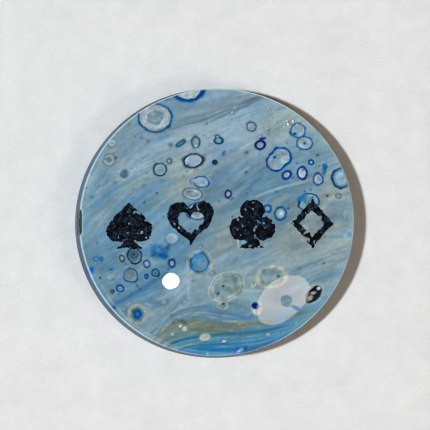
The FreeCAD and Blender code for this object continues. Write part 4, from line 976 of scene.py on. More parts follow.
# painted shade on the side under the gate above z 2.45; below that the side is grey
gate = smooth(2.5, 2.3, np.abs(verts[:, 1] - 0.15)) * (verts[:, 0] < -24.2) * (verts[:, 2] < 3.9)
col = col * (1 - gate[:, None]) + gate[:, None] * np.where((verts[:, 2] < 2.45)[:, None], np.array([96, 98, 104]), np.array([26, 50, 64]))
col[-1] = (90, 110, 120)
albedo = np.clip(linear(col) * PAINT_GAIN, 0.002, 0.95)
skin = make("pour_skin_paint", verts, [np.vstack(faces4), np.vstack(faces3)], albedo)
line = np.full(len(verts), 0.6)
line[:base] = at(LINE, top[:, 0], top[:, 1])
skin.data.attributes.new("outline", "FLOAT", "POINT").data.foreach_set("value", line.astype(np.float32))

m, nt, out = material("poured_paint")
vec = coords(nt)
at_ = add(nt, "ShaderNodeAttribute", _attribute_name="paint")
fine = noise_node(nt, vec, 0.35, 4.0, 0.6)
speck = noise_node(nt, vec, 0.9, 2.0, 0.5)
tone = math_node(nt, "MULTIPLY", range_node(nt, fine, 0.3, 0.7, 0.965, 1.035), range_node(nt, speck, 0.3, 0.7, 0.98, 1.02))
# fine threads drawn out along the pour, and a grain of pigment
mp = nt.nodes.new("ShaderNodeMapping")
mp.vector_type = "TEXTURE"
mp.inputs["Rotation"].default_value = (0, 0, math.radians(24))
mp.inputs["Scale"].default_value = (5.0, 1.0, 1.0)
link(nt, vec, mp.inputs["Vector"])
threads = noise_node(nt, mp.outputs["Vector"], 0.34, 2.0, 0.6, 0.4)
pigment = noise_node(nt, vec, 0.2, 2.0, 0.7)
tone = math_node(nt, "MULTIPLY", tone, range_node(nt, threads, 0.3, 0.7, 1 - THREADS, 1 + THREADS))
tone = math_node(nt, "MULTIPLY", tone, range_node(nt, pigment, 0.3, 0.7, 1 - PIGMENT, 1 + PIGMENT))
# the thin dark line and the paler band inside it that bound each cell
ol = add(nt, "ShaderNodeAttribute", _attribute_name="outline")
near = range_node(nt, math_node(nt, "ABSOLUTE", ol.outputs["Fac"]), 0.07, 0.18, 1.0, 0.0)
inside = range_node(nt, math_node(nt, "ABSOLUTE", math_node(nt, "ADD", ol.outputs["Fac"], 0.33)), 0.03, 0.12, 1.0, 0.0)
drawn = mix_colour(nt, math_node(nt, "MULTIPLY", near, OUTLINE), at_.outputs["Color"], (0.28, 0.77, 0.97), "MULTIPLY")
drawn = mix_colour(nt, math_node(nt, "MULTIPLY", inside, OUTLINE * 0.5), drawn, (1.32, 1.2, 1.12), "MULTIPLY")
vm = nt.nodes.new("ShaderNodeVectorMath")
vm.operation = "SCALE"
link(nt, drawn, vm.inputs[0])
link(nt, tone, vm.inputs["Scale"])
geo = nt.nodes.new("ShaderNodeNewGeometry")
sep = nt.nodes.new("ShaderNodeSeparateXYZ")
link(nt, geo.outputs["Position"], sep.inputs[0])
bare = range_node(nt, sep.outputs["Z"], 0.00398, 0.0039, 0.0, 1.0)      # 1 on the open side, 0 under the lens
p = add(nt, "ShaderNodeBsdfPrincipled", IOR=1.49)
link(nt, vm.outputs["Vector"], p.inputs["Base Color"])
link(nt, range_node(nt, fine, 0.3, 0.7, 0.34, 0.46), p.inputs["Roughness"])
link(nt, range_node(nt, bare, 0, 1, 0.0, 0.45), p.inputs["Specular IOR Level"])
lump = math_node(nt, "ADD", noise_node(nt, vec, 0.8, 3.0), math_node(nt, "MULTIPLY", fine, 0.3))
b = nt.nodes.new("ShaderNodeBump")
b.inputs["Distance"].default_value = 0.08 * MM
link(nt, lump, b.inputs["Height"])
link(nt, math_node(nt, "MULTIPLY", bare, 0.5), b.inputs["Strength"])
link(nt, b.outputs["Normal"], p.inputs["Normal"])
finish_with(nt, out, p.outputs["BSDF"])
give(skin, m)
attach(skin, "root")
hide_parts("pour_skin")

# ---- the four suit marks -----------------------------------------------------------
HW, HH = 4.1, 4.4
BRUSH = np.random.RandomState(33)


def heart(w, h):
    t = np.linspace(0, 2 * math.pi, 121)[:-1]
    return np.stack([w * np.sin(t) ** 3, h * (13 * np.cos(t) - 5 * np.cos(2 * t) - 2 * np.cos(3 * t) - np.cos(4 * t) + 2.55) / 14.45], 1)


def stem(top_y, w):
    u = np.linspace(0, 1, 16)
    y = top_y + (-HH - top_y) * u
    half = (w + (4.51 - w) * u**2.4) / 2
    return np.vstack([np.stack([half, y], 1), np.stack([-half[::-1], y[::-1]], 1)])


def hollow(a, b, bow):
    c = np.array([[a, 0], [0, b], [-a, 0], [0, -b]], float)
    out = []
    for k in range(4):
        p, q = c[k], c[(k + 1) % 4]
        for u in np.linspace(0, 1, 16, endpoint=False):
            out.append((p + (q - p) * u) * (1 - 4 * bow * u * (1 - u)))
    return np.array(out)


def disc_outline(cx, cy, r):
    t = np.linspace(0, 2 * math.pi, 73)[:-1]
    return np.stack([cx + r * np.cos(t), cy + r * np.sin(t)], 1)


def depth(poly, x, y):
    """Distance inside an outline: above 0 inside, below 0 outside."""
    best = np.full(x.shape, 1e9)
    inside = np.zeros(x.shape, bool)
    for p, q in zip(poly, np.roll(poly, -1, 0)):
        d = q - p
        t = np.clip(((x - p[0]) * d[0] + (y - p[1]) * d[1]) / (d @ d + 1e-12), 0, 1)
        best = np.minimum(best, np.hypot(x - p[0] - t * d[0], y - p[1] - t * d[1]))
        crosses = (p[1] > y) != (q[1] > y)
        with np.errstate(divide="ignore", invalid="ignore"):
            xx = p[0] + (y - p[1]) * d[0] / (d[1] if abs(d[1]) > 1e-12 else 1e-12)
        inside ^= crosses & (x < xx)
    return np.where(inside, best, -best)


def suit(kind, x, y):
    if kind == "spade":
        h = -heart(HW, HH * 0.86)[::-1] + np.array([0, 0.14 * HH])
        return np.maximum(depth(h, x, y), depth(stem(-0.25 * HH, 0.9), x, y))
    if kind == "heart":
        return np.minimum(depth(heart(HW, HH * 0.93), x, y), -depth(heart(HW - 1.75, HH * 0.93 - 1.96), x, y))
    if kind == "club":
        r = 2.148
        parts = [(0, HH - r), (HW - r, -0.2 * HH), (-(HW - r), -0.2 * HH)]
        f = depth(stem(-0.15 * HH, 1.0), x, y)
        for cx, cy in parts:
            f = np.maximum(f, r - np.hypot(x - cx, y - cy))
        block = np.minimum(1.1 - np.abs(x), np.minimum(y + 1.6, 1.0 - y))
        return np.maximum(f, block)
    return np.minimum(depth(hollow(4.018, 4.664, 0.07), x, y), -depth(hollow(2.38, 2.625, 0.05), x, y))


def plate(name, f, x0, y0, h, z0, ztop):
    """A thin solid filling the cells of a field where it is above 0, with its outline cut along the zero line."""
    ny, nx = f.shape
    verts, ids, tops, walls = [], {}, [], []

    def corner(i, j):
        k = (i, j)
        if k not in ids:
            ids[k] = len(verts)
            verts.append((x0 + j * h, y0 + i * h))
        return ids[k]

    def cut(i, j, i2, j2):
        k = (i, j, i2, j2) if (i, j) < (i2, j2) else (i2, j2, i, j)
        if k not in ids:
            a, b = f[k[0], k[1]], f[k[2], k[3]]
            t = min(max(a / (a - b), 0.02), 0.98)
            ids[k] = len(verts)
            verts.append((x0 + (k[1] + (k[3] - k[1]) * t) * h, y0 + (k[0] + (k[2] - k[0]) * t) * h))
        return ids[k]

    pos = f > 0
    s = pos[:-1, :-1].astype(int) + pos[:-1, 1:] + pos[1:, 1:] + pos[1:, :-1]
    for i, j in zip(*np.nonzero(s == 4)):
        tops.append((corner(i, j), corner(i, j + 1), corner(i + 1, j + 1), corner(i + 1, j)))
    for i, j in zip(*np.nonzero((s > 0) & (s < 4))):
        ring = [(i, j), (i, j + 1), (i + 1, j + 1), (i + 1, j)]
        on = [pos[c] for c in ring]
        if sum(on) == 2 and on[0] == on[2]:              # two opposite corners: keep them apart
            for k in range(4):
                if on[k]:
                    a = cut(*ring[k], *ring[(k + 1) % 4])
                    b = cut(*ring[k - 1], *ring[k])
                    tops.append((corner(*ring[k]), a, b))
                    walls.append((a, b))
            continue
        poly, enter, leave = [], None, None
        for k in range(4):
            if on[k]:
                poly.append(corner(*ring[k]))
            if on[k] != on[(k + 1) % 4]:
                c = cut(*ring[k], *ring[(k + 1) % 4])
                poly.append(c)
                if on[k]:
                    leave = c
                else:
                    enter = c
        tops.append(tuple(poly))
        walls.append((leave, enter))
    v = np.array(verts)
    n = len(v)
    zt = ztop(v[:, 0], v[:, 1])
    vv = np.vstack([np.column_stack([v, zt]), np.column_stack([v, np.full(n, z0)])])
    groups = {}
    for t in tops:
        groups.setdefault(len(t), []).append(t)
        groups[len(t)].append(tuple(n + q for q in t[::-1]))
    groups.setdefault(4, [])
    for a, b in walls:
        groups[4].append((b, a, n + a, n + b))
    return make(name, vv, list(groups.values()), flat=False)


def brushed(n, s, h):
    a = BRUSH.randn(n, n)
    fy, fx = np.fft.fftfreq(n)[:, None], np.fft.rfftfreq(n)[None, :]
    a = np.fft.irfft2(np.fft.rfft2(a) * np.exp(-2 * (math.pi * s / h) ** 2 * (fx**2 + fy**2)), (n, n))
    return a / a.std()


m, nt, out = material("mark_paint")
vec = coords(nt)
big, small = noise_node(nt, vec, 0.8, 4.0, 0.62, 0.6), noise_node(nt, vec, 0.3, 3.0, 0.65)
body = ramp(nt, math_node(nt, "ADD", math_node(nt, "MULTIPLY", big, 0.55), math_node(nt, "MULTIPLY", small, 0.45)),
            [(0.38, C(0, 0, 0)), (0.45, C(2, 4, 8)), (0.50, C(10, 16, 26)), (0.56, C(28, 39, 55)), (0.64, C(60, 76, 98)), (0.75, C(80, 98, 122))])
p = add(nt, "ShaderNodeBsdfPrincipled", Roughness=0.6)
p.inputs["Specular IOR Level"].default_value = 0.05
link(nt, body, p.inputs["Base Color"])
link(nt, bump(nt, small, 0.4, 0.03), p.inputs["Normal"])
finish_with(nt, out, p.outputs["BSDF"])
MARK = m

STEP = 0.055
for k, kind in enumerate(("spade", "heart", "club", "diamond")):
    cx, cy = -16.35 + 10.9 * k + 0.65, -0.35
    n = int(10.8 / STEP)
    g = -5.4 + np.arange(n) * STEP
    gx, gy = np.meshgrid(g, g)
    wob1, wob2, hole, hole2 = brushed(n, 0.28, STEP), brushed(n, 0.11, STEP), brushed(n, 0.17, STEP), brushed(n, 0.5, STEP)
    f = suit(kind, gx + 0.05 * brushed(n, 0.5, STEP), gy + 0.05 * brushed(n, 0.5, STEP))
    f = f + 0.055 * wob1 + 0.052 * wob2
    voids = (1.66 - hole - 0.45 * hole2 + 0.35 * smooth(0.15, 0.6, f)) * 0.15
    f = np.minimum(f, voids)
    thick = brushed(n, 0.3, STEP)

    def ztop(x, y, cx=cx, cy=cy, thick=thick):
        return 4.062 + 0.006 * np.clip(sample(thick, (x - cx + 5.4) / STEP, (y - cy + 5.4) / STEP), -2, 2)

    o = plate(kind + "_mark_paint", f, cx - 5.4, cy - 5.4, STEP, 4.001, ztop)
    give(o, MARK)
    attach(o, "root")
    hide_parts(kind + "_mark")

# ---- the clear domed lens ----------------------------------------------------------
RD, Z_RIM, Z_CROWN, R_BALL = 25.0, 4.93, 9.769, 67.0
ZC = Z_CROWN - R_BALL
RS = 0.42                                                  # shoulder round between wall and crown
# centre of the shoulder round: RS in from the wall and RS under the crown
ccr = RD - RS
ccz = ZC + math.sqrt((R_BALL - RS) ** 2 - ccr**2)
a_top = math.degrees(math.atan2(ccz - ZC, ccr))            # where the round meets the crown
crown = [(R_BALL * math.sin(t), ZC + R_BALL * math.cos(t)) for t in np.linspace(0, math.radians(90 - a_top), 46)]
brim = crown[-1][0]
crown = crown[:-1] + [(r, ZC + math.sqrt(R_BALL**2 - r * r)) for r in (brim - 0.12, brim - 0.02)] + crown[-1:]
prof = crown + arc(ccr, ccz, RS, a_top, 0, 14)[1:]
prof += [(RD, z) for z in np.linspace(ccz, 4.23, 6)[1:]]
prof += arc(RD - 0.08, 4.23, 0.08, 0, -90, 5)[1:]
prof += [(24.74, 4.15), (24.70, 4.11), (24.70, 3.99), (24.4, 3.99), (12, 3.99), (0, 3.99)]
NS = 900
dv, df = lathe(prof, NS, math.pi)
# the trimmed gate: a sloping flat across the wall at -X, with splayed ends
sel = (dv[:, 0] < -23.5) & (dv[:, 2] > 4.12)
limit = -24.96 + (dv[:, 2] - 4.31) * (0.76 / 0.98)
ends = smooth(2.62 - 0.0, 2.45 - 0.06, np.abs(dv[:, 1] - 0.15))
newx = np.maximum(dv[:, 0], limit)
dv[:, 0] = np.where(sel, dv[:, 0] * (1 - ends) + newx * ends, dv[:, 0])
dome = make("clear_dome_lens", dv, df)
dome.data.set_sharp_from_angle(angle=math.radians(20))

m, nt, out = material("clear_acrylic")
vec = coords(nt)
lp = nt.nodes.new("ShaderNodeLightPath")
geo = nt.nodes.new("ShaderNodeNewGeometry")
sepp, sepn = nt.nodes.new("ShaderNodeSeparateXYZ"), nt.nodes.new("ShaderNodeSeparateXYZ")
link(nt, geo.outputs["Position"], sepp.inputs[0])
link(nt, geo.outputs["True Normal"], sepn.inputs[0])
glass = add(nt, "ShaderNodeBsdfGlass", IOR=1.49)
wear = noise_node(nt, vec, 6.0, 4.0, 0.6)
link(nt, range_node(nt, wear, 0.4, 0.75, 0.0, 0.006), glass.inputs["Roughness"])
link(nt, mix_colour(nt, wear, (0.985, 0.992, 0.996), (0.996, 0.998, 1.0)), glass.inputs["Color"])
clear = add(nt, "ShaderNodeBsdfTransparent")
clear.inputs["Color"].default_value = (0.95, 0.955, 0.96, 1)
dark = add(nt, "ShaderNodeBsdfTransparent")
dark.inputs["Color"].default_value = (*WALL_SHADOW, 1)
steep = math_node(nt, "LESS_THAN", sepn.outputs["Z"], 0.9)
outside = math_node(nt, "SUBTRACT", 1.0, geo.outputs["Backfacing"])
wall = math_node(nt, "MULTIPLY", steep, outside)
through = nt.nodes.new("ShaderNodeMixShader")
link(nt, wall, through.inputs[0])
link(nt, clear.outputs[0], through.inputs[1])
link(nt, dark.outputs[0], through.inputs[2])
# the cut edge has a fine ground surface that scatters light, where the crown is polished; part of its brightness is
# painted glow, from normals set to face the lamp
edge_noise = noise_node(nt, vec, 0.35, 3.0, 0.6)
ground = add(nt, "ShaderNodeBsdfDiffuse", Roughness=0.5)
link(nt, ramp(nt, edge_noise, [(0.3, EDGE_COLOUR), (0.7, tuple(min(1.0, v * 1.15) for v in EDGE_COLOUR))]), ground.inputs["Color"])
lit = add(nt, "ShaderNodeBsdfTranslucent")
# painted glow: light piped through the lens leaves by the side away from the lamp, so on that side the edge's normals
# are turned to the lamp and its ground mask is stronger
far = range_node(nt, math_node(nt, "MULTIPLY", sepn.outputs["X"], range_node(nt, geo.outputs["Backfacing"], 0, 1, 1, -1)), -0.05, 0.25, 0.0, 1.0)
turn = nt.nodes.new("ShaderNodeVectorMath")
turn.operation = "MULTIPLY_ADD"
up_ = nt.nodes.new("ShaderNodeCombineXYZ")
up_.inputs[0].default_value, up_.inputs[2].default_value = PIPED[0], PIPED[1]
link(nt, up_.outputs[0], turn.inputs[0])
spread_ = nt.nodes.new("ShaderNodeCombineXYZ")
for k in range(3):
    link(nt, far, spread_.inputs[k])
link(nt, spread_.outputs[0], turn.inputs[1])
link(nt, geo.outputs["Normal"], turn.inputs[2])
unit = nt.nodes.new("ShaderNodeVectorMath")
unit.operation = "NORMALIZE"
link(nt, turn.outputs[0], unit.inputs[0])
link(nt, unit.outputs[0], ground.inputs["Normal"])
# painted glow: the translucent part has a fixed normal, so it takes the key light from behind all round the edge
back_ = nt.nodes.new("ShaderNodeCombineXYZ")
back_.inputs[0].default_value, back_.inputs[2].default_value = 0.55, -0.83
link(nt, back_.outputs[0], lit.inputs["Normal"])
link(nt, ramp(nt, edge_noise, [(0.3, EDGE_COLOUR), (0.7, tuple(min(1.0, v * 1.15) for v in EDGE_COLOUR))]), lit.inputs["Color"])
ground_edge_and_painted_glow = nt.nodes.new("ShaderNodeMixShader")
ground_edge_and_painted_glow.inputs[0].default_value = 0.5
link(nt, ground.outputs[0], ground_edge_and_painted_glow.inputs[1])
link(nt, lit.outputs[0], ground_edge_and_painted_glow.inputs[2])
outward = math_node(nt, "MULTIPLY", sepn.outputs["Z"], range_node(nt, geo.outputs["Backfacing"], 0, 1, 1, -1))
edge = mix_colour(nt, far, ramp(nt, outward, EDGE_MASK), ramp(nt, outward, EDGE_MASK_FAR_GLOW))
above = math_node(nt, "GREATER_THAN", sepp.outputs["Z"], 0.00416)
across = math_node(nt, "ABSOLUTE", math_node(nt, "SUBTRACT", sepp.outputs["Y"], 0.15 * MM))
trimmed = math_node(nt, "MULTIPLY", range_node(nt, across, 0.00240, 0.00255, 1.0, 0.0), math_node(nt, "LESS_THAN", sepp.outputs["X"], -0.0236))
above = math_node(nt, "MULTIPLY", above, math_node(nt, "SUBTRACT", 1.0, trimmed))     # the trim cut is clean
facing = math_node(nt, "MULTIPLY", sepn.outputs["Y"], range_node(nt, geo.outputs["Backfacing"], 0, 1, 1, -1))
level = math_node(nt, "SQRT", math_node(nt, "MAXIMUM", math_node(nt, "SUBTRACT", 1.0, math_node(nt, "MULTIPLY", sepn.outputs["Z"], sepn.outputs["Z"])), 0.001), 0.0)
facing = math_node(nt, "DIVIDE", facing, level)
above = math_node(nt, "MULTIPLY", above, range_node(nt, facing, -0.99, -0.80, NEAR_EDGE, 1.0))
edged = nt.nodes.new("ShaderNodeMixShader")
link(nt, math_node(nt, "MULTIPLY", edge, above), edged.inputs[0])
link(nt, glass.outputs[0], edged.inputs[1])
link(nt, ground_edge_and_painted_glow.outputs[0], edged.inputs[2])
straight = math_node(nt, "MAXIMUM", lp.outputs["Is Shadow Ray"], lp.outputs["Is Diffuse Ray"])
mx = nt.nodes.new("ShaderNodeMixShader")
link(nt, straight, mx.inputs[0])
link(nt, edged.outputs[0], mx.inputs[1])
link(nt, through.outputs[0], mx.inputs[2])
finish_with(nt, out, mx.outputs[0])
give(dome, m)
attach(dome, "root")
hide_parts("clear_dome")

# ---- the clear film that holds the lens, with its trapped bubbles ------------------
fv, ff = lathe([(0, 4.135), (12, 4.135), (24.55, 4.135), (24.62, 4.12), (24.62, 4.10), (24.55, 4.09), (12, 4.09), (0, 4.09)], 240)
bub = np.random.RandomState(5)
bm = bmesh.new()
bmesh.ops.create_icosphere(bm, subdivisions=2, radius=1.0)
bv = np.array([v.co for v in bm.verts])
bf = np.array([[v.index for v in f.verts] for f in bm.faces])
bm.free()
tri = [ff[1]]
allv = [fv]
count = len(fv)
spots = [(SPARK[k][0], SPARK[k][1], SPARK[k][2]) for k in range(len(SPARK))]
for k in range(26):                                        # a thin drift of mica round the brightest sparks
    spots.append((12.6 + 1.5 * bub.randn(), 18.1 + 0.8 * bub.randn(), bub.uniform(0.02, 0.055)))
for k in range(60):
    r, t = 23.6 * math.sqrt(bub.uniform(0.02, 1)), bub.uniform(0, 2 * math.pi)
    spots.append((r * math.cos(t), r * math.sin(t), bub.uniform(0.02, 0.045)))
spots = [q for q in spots if math.hypot(q[0], q[1]) < 24.2 and q[0] > -22.6]
for x, y, r in spots:
    allv.append(bv * np.array([r, r, r * 0.5]) + np.array([x, y, 4.215 + r * 0.5]))
    tri.append(bf + count)
    count += len(bv)
film = make("face_adhesive_film", np.vstack(allv), [ff[0], np.vstack(tri)])
m, nt, out = material("clear_glue")
vec = coords(nt)
haze = noise_node(nt, vec, 2.5, 3.0, 0.6)
t1 = nt.nodes.new("ShaderNodeBsdfTransparent")
link(nt, ramp(nt, haze, [(0.3, (0.985, 0.99, 0.992)), (0.7, (1.0, 1.0, 1.0))]), t1.inputs["Color"])
g1 = add(nt, "ShaderNodeBsdfPrincipled", Roughness=0.3)
link(nt, ramp(nt, noise_node(nt, vec, 0.3, 2.0), [(0.42, (1.0, 0.86, 0.52)), (0.55, (0.95, 0.97, 1.0))]), g1.inputs["Base Color"])
g1.inputs["Specular IOR Level"].default_value = 0.3
geo = nt.nodes.new("ShaderNodeNewGeometry")
sep = nt.nodes.new("ShaderNodeSeparateXYZ")
link(nt, geo.outputs["Position"], sep.inputs[0])
isb = range_node(nt, sep.outputs["Z"], 0.00416, 0.00418, 0.0, 0.9)
mx = nt.nodes.new("ShaderNodeMixShader")
link(nt, isb, mx.inputs[0])
link(nt, t1.outputs[0], mx.inputs[1])
link(nt, g1.outputs[0], mx.inputs[2])
finish_with(nt, out, mx.outputs[0])
give(film, m)
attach(film, "root")
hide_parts("face_adhesive")

# ---- the felt pad, its glue and the backing disc -----------------------------------
FELT = np.random.RandomState(9)
n = 480
prof = [(0, 0.68), (14, 0.68), (22, 0.68), (23.4, 0.66), (23.72, 0.56), (23.8, 0.40), (23.78, 0.22), (23.6, 0.08), (23.2, 0.02)]
prof += [(r, 0.0) for r in (22, 20, 17, 14, 11, 8, 5, 2.5)] + [(0, 0.0)]
pv, pf = lathe(prof, n)
ang = np.arctan2(pv[:, 1], pv[:, 0])
rad = np.hypot(pv[:, 0], pv[:, 1])
fuzz = sum(FELT.uniform(0.4, 1) * np.cos(k * ang + FELT.uniform(0, 6.3)) for k in (11, 23, 41, 67, 97, 131)) / 6
pv[:, :2] *= (1 - 0.0016 * smooth(20, 23.6, rad) * (1 + fuzz))[:, None]
low = (pv[:, 2] < 0.02) & (rad < 23)
pv[:, 2] = np.where(low, pv[:, 2] + 0.03 * FELT.rand(len(pv)) * (rad > 1), pv[:, 2])
fibres, ffaces = [], []
for k in range(3600):
    if k < 2400:                                           # round the edge
        t = FELT.uniform(0, 2 * math.pi)
        r0, z = 23.66, FELT.uniform(0.05, 0.62)
        d = np.array([math.cos(t), math.sin(t), 0.0])
        s0 = np.array([r0 * d[0], r0 * d[1], z])
        way = d * FELT.uniform(0.02, 0.13) + np.array([-d[1], d[0], 0]) * FELT.uniform(-0.55, 0.55) + np.array([0, 0, FELT.uniform(-0.12, 0.12)])
    else:                                                  # lying on the resting face
        t, r0 = FELT.uniform(0, 2 * math.pi), 23.2 * math.sqrt(FELT.rand())
        s0 = np.array([r0 * math.cos(t), r0 * math.sin(t), 0.012])
        a = FELT.uniform(0, 2 * math.pi)
        way = np.array([math.cos(a), math.sin(a), 0.0]) * FELT.uniform(0.4, 1.4)
        if np.hypot(*(s0 + way)[:2]) > 23.4:
            way = -way
    side = np.cross(way, [0, 0, 1.0]) if abs(way[2]) < 0.9 else np.array([1.0, 0, 0])
    side = side / (np.linalg.norm(side) + 1e-9)
    up = np.cross(side, way)
    up /= np.linalg.norm(up) + 1e-9
    bow = side * FELT.uniform(-0.12, 0.12) * np.linalg.norm(way)
    b0 = count = len(fibres)
    for q, wdt in ((0, 0.014), (0.5, 0.012), (1.0, 0.004)):
        c = s0 + way * q + bow * 4 * q * (1 - q)
        c[2] = min(max(c[2], 0.004), 0.68)
        for aa in (90, 210, 330):
            cc = c + wdt * (side * math.cos(math.radians(aa)) + up * math.sin(math.radians(aa)))
            cc[2] = max(cc[2], 0.0)
            fibres.append(cc)
    for q in range(2):
        for e in range(3):
            a0, a1 = b0 + 3 * q + e, b0 + 3 * q + (e + 1) % 3
            ffaces.append((a0, a1, a1 + 3, a0 + 3))
fibres = np.array(fibres)
hyp = np.hypot(fibres[:, 0], fibres[:, 1])
fibres[:, :2] *= np.minimum(1, 23.9 / hyp)[:, None]
pad = make("felt_pad_cloth", np.vstack([pv, fibres]), [np.vstack([pf[0], np.array(ffaces) + len(pv)]), pf[1]])
m, nt, out = material("felt")
vec = coords(nt)
w1, w2 = noise_node(nt, vec, 0.5, 6.0, 0.7, 1.2), noise_node(nt, vec, 3.5, 3.0, 0.5)
wv = nt.nodes.new("ShaderNodeTexVoronoi")
wv.inputs["Scale"].default_value = 1000 / 0.28
link(nt, vec, wv.inputs["Vector"])
fib = math_node(nt, "ADD", math_node(nt, "MULTIPLY", w1, 0.7), math_node(nt, "MULTIPLY", wv.outputs["Distance"], 0.3))
p = add(nt, "ShaderNodeBsdfPrincipled", Roughness=0.95)
p.inputs["Specular IOR Level"].default_value = 0.1
p.inputs["Sheen Weight"].default_value = 0.45
p.inputs["Sheen Roughness"].default_value = 0.5
link(nt, mix_colour(nt, math_node(nt, "MULTIPLY", w2, 0.5), ramp(nt, fib, [(0.25, C(16, 17, 19)), (0.5, C(34, 35, 38)), (0.75, C(62, 63, 66))]), C(44, 45, 48)), p.inputs["Base Color"])
link(nt, bump(nt, fib, 0.9, 0.18), p.inputs["Normal"])
finish_with(nt, out, p.outputs["BSDF"])
give(pad, m)
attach(pad, "root")
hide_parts("felt_pad")

m, nt, out = material("pad_glue")
vec = coords(nt)
w1 = noise_node(nt, vec, 1.6, 4.0, 0.6, 0.8)
p = add(nt, "ShaderNodeBsdfPrincipled", IOR=1.47)
link(nt, ramp(nt, w1, [(0.3, C(188, 182, 160)), (0.6, C(214, 210, 194)), (0.8, C(228, 226, 214))]), p.inputs["Base Color"])
link(nt, range_node(nt, w1, 0.3, 0.7, 0.18, 0.4), p.inputs["Roughness"])
link(nt, bump(nt, w1, 0.4, 0.05), p.inputs["Normal"])
finish_with(nt, out, p.outputs["BSDF"])
give(nodes["pad_adhesive"], m)

m, nt, out = material("backing")
vec = coords(nt)
w1, w2 = noise_node(nt, vec, 0.4, 5.0, 0.65), noise_node(nt, coords(nt, (1, 1, 6)), 3.0, 3.0, 0.6)
p = add(nt, "ShaderNodeBsdfPrincipled", IOR=1.5)
link(nt, mix_colour(nt, w2, ramp(nt, w1, [(0.3, C(150, 152, 156)), (0.7, C(182, 184, 188))]), C(160, 164, 172)), p.inputs["Base Color"])
link(nt, range_node(nt, w1, 0.3, 0.7, 0.4, 0.62), p.inputs["Roughness"])
link(nt, bump(nt, w1, 0.25, 0.03), p.inputs["Normal"])
finish_with(nt, out, p.outputs["BSDF"])
give(nodes["backing_disc"], m)

# ---- stage: paper, light, camera ---------------------------------------------------
bm = bmesh.new()
bmesh.ops.create_grid(bm, x_segments=60, y_segments=60, size=3.0)
me = bpy.data.meshes.new("paper_floor")
bm.to_mesh(me)
bm.free()
floor = bpy.data.objects.new("paper_floor", me)
scene.collection.objects.link(floor)
floor.location.z = -0.00002
m, nt, out = material("paper")
vec = coords(nt)
w1, w2, w3 = noise_node(nt, vec, 3.2, 3.0, 0.55), noise_node(nt, vec, 9.0, 3.0, 0.5), noise_node(nt, vec, 0.5, 4.0, 0.6)
p = add(nt, "ShaderNodeBsdfPrincipled", Roughness=0.9)
p.inputs["Specular IOR Level"].default_value = 0.1
w4 = noise_node(nt, vec, 0.22, 2.0, 0.7)
tone = math_node(nt, "ADD", math_node(nt, "MULTIPLY", w1, 0.25), math_node(nt, "ADD", math_node(nt, "MULTIPLY", w2, 0.2), math_node(nt, "ADD", math_node(nt, "MULTIPLY", w3, 0.25), math_node(nt, "MULTIPLY", w4, 0.3))))
link(nt, ramp(nt, tone, [(0.40, tuple(v * 0.90 for v in PAPER)), (0.60, tuple(v * 1.025 for v in PAPER))]), p.inputs["Base Color"])
link(nt, bump(nt, w3, 0.15, 0.05), p.inputs["Normal"])
finish_with(nt, out, p.outputs["BSDF"])
give(floor, m)

# camera: far above, a little to the left and below, on a back standard turned the other way
CAM = Vector((-0.207610, -0.057322, 0.976531))
tilt = math.radians(5.6)
nrm = Vector((math.sin(tilt), 0.0, math.cos(tilt)))
right = (-nrm).cross(Vector((0, 1, 0))).normalized()
upv = right.cross(-nrm)
cam = bpy.data.objects.new("camera", bpy.data.cameras.new("camera"))
scene.collection.objects.link(cam)
cam.data.sensor_fit = "HORIZONTAL"
cam.data.sensor_width = 36.0
cam.data.lens = 424.038
cam.data.clip_start, cam.data.clip_end = 0.05, 20.0
cam.matrix_world = Matrix.Translation(CAM) @ Matrix((right, upv, nrm)).transposed().to_4x4()
scene.camera = cam
# the shift belongs to this place only: elsewhere the driver gives 0
for path, value in (("shift_x", SHIFT[0]), ("shift_y", SHIFT[1])):
    fc = cam.data.driver_add(path)
    fc.driver.type = "AVERAGE"
    var = fc.driver.variables.new()
    var.type = "TRANSFORMS"
    var.targets[0].id = cam
    var.targets[0].transform_type = "LOC_X"
    var.targets[0].transform_space = "WORLD_SPACE"
    for mod in list(fc.modifiers):
        fc.modifiers.remove(mod)
    keys = ((CAM.x - 0.06, 0.0), (CAM.x - 0.02, value), (CAM.x + 0.02, value), (CAM.x + 0.06, 0.0))
    fc.keyframe_points.add(len(keys))
    for kp, (kx, ky) in zip(fc.keyframe_points, keys):
        kp.co = (kx, ky)
        kp.interpolation = "LINEAR"
    fc.extrapolation = "CONSTANT"


def aim(o, where, target=Vector((0, 0, 0.006))):
    o.location = where
    o.rotation_mode = "QUATERNION"
    o.rotation_quaternion = (Vector(where) - target).to_track_quat("Z", "Y")


def area(name, where, radius, power, colour, shape="DISK"):
    d = bpy.data.lights.new(name, "AREA")
    d.shape = shape
    d.size = radius * 2
    d.energy = power
    d.color = colour
    o = bpy.data.objects.new(name, d)
    scene.collection.objects.link(o)
    aim(o, where)
    return o


def mirror(px, py):
    """Where light must come from to be mirrored to the camera at a point (mm) of the crown."""
    s = Vector((px, py, ZC + math.sqrt(R_BALL**2 - px * px - py * py)))
    nn = (s - Vector((0, 0, ZC))).normalized()
    v = (CAM / MM - s).normalized()
    return s * MM, (nn * (2 * nn.dot(v)) - v).normalized()


key_dir = Vector((-math.sin(math.radians(KEY_TILT)), -0.015, math.cos(math.radians(KEY_TILT)))).normalized()
key = area("key_lamp", key_dir * 2.4, 2.4 * math.tan(math.radians(KEY_ANGLE)), KEY_POWER, KEY_COLOUR)
key.visible_glossy = False
a = math.radians(-35)
fill = area("soft_fill", Vector((math.cos(a) * math.sin(math.radians(52)), math.sin(a) * math.sin(math.radians(52)), math.cos(math.radians(52)))) * 1.3, 0.35, FILL_POWER, FILL_COLOUR)
fill.visible_glossy = False
fill.visible_transmission = False

s, w = mirror(*LAMP_AT)
area("small_lamp", s + w * 0.9, 0.9 * math.tan(math.radians(LAMP_ANGLE)), LAMP_POWER, (0.96, 0.98, 1.0))

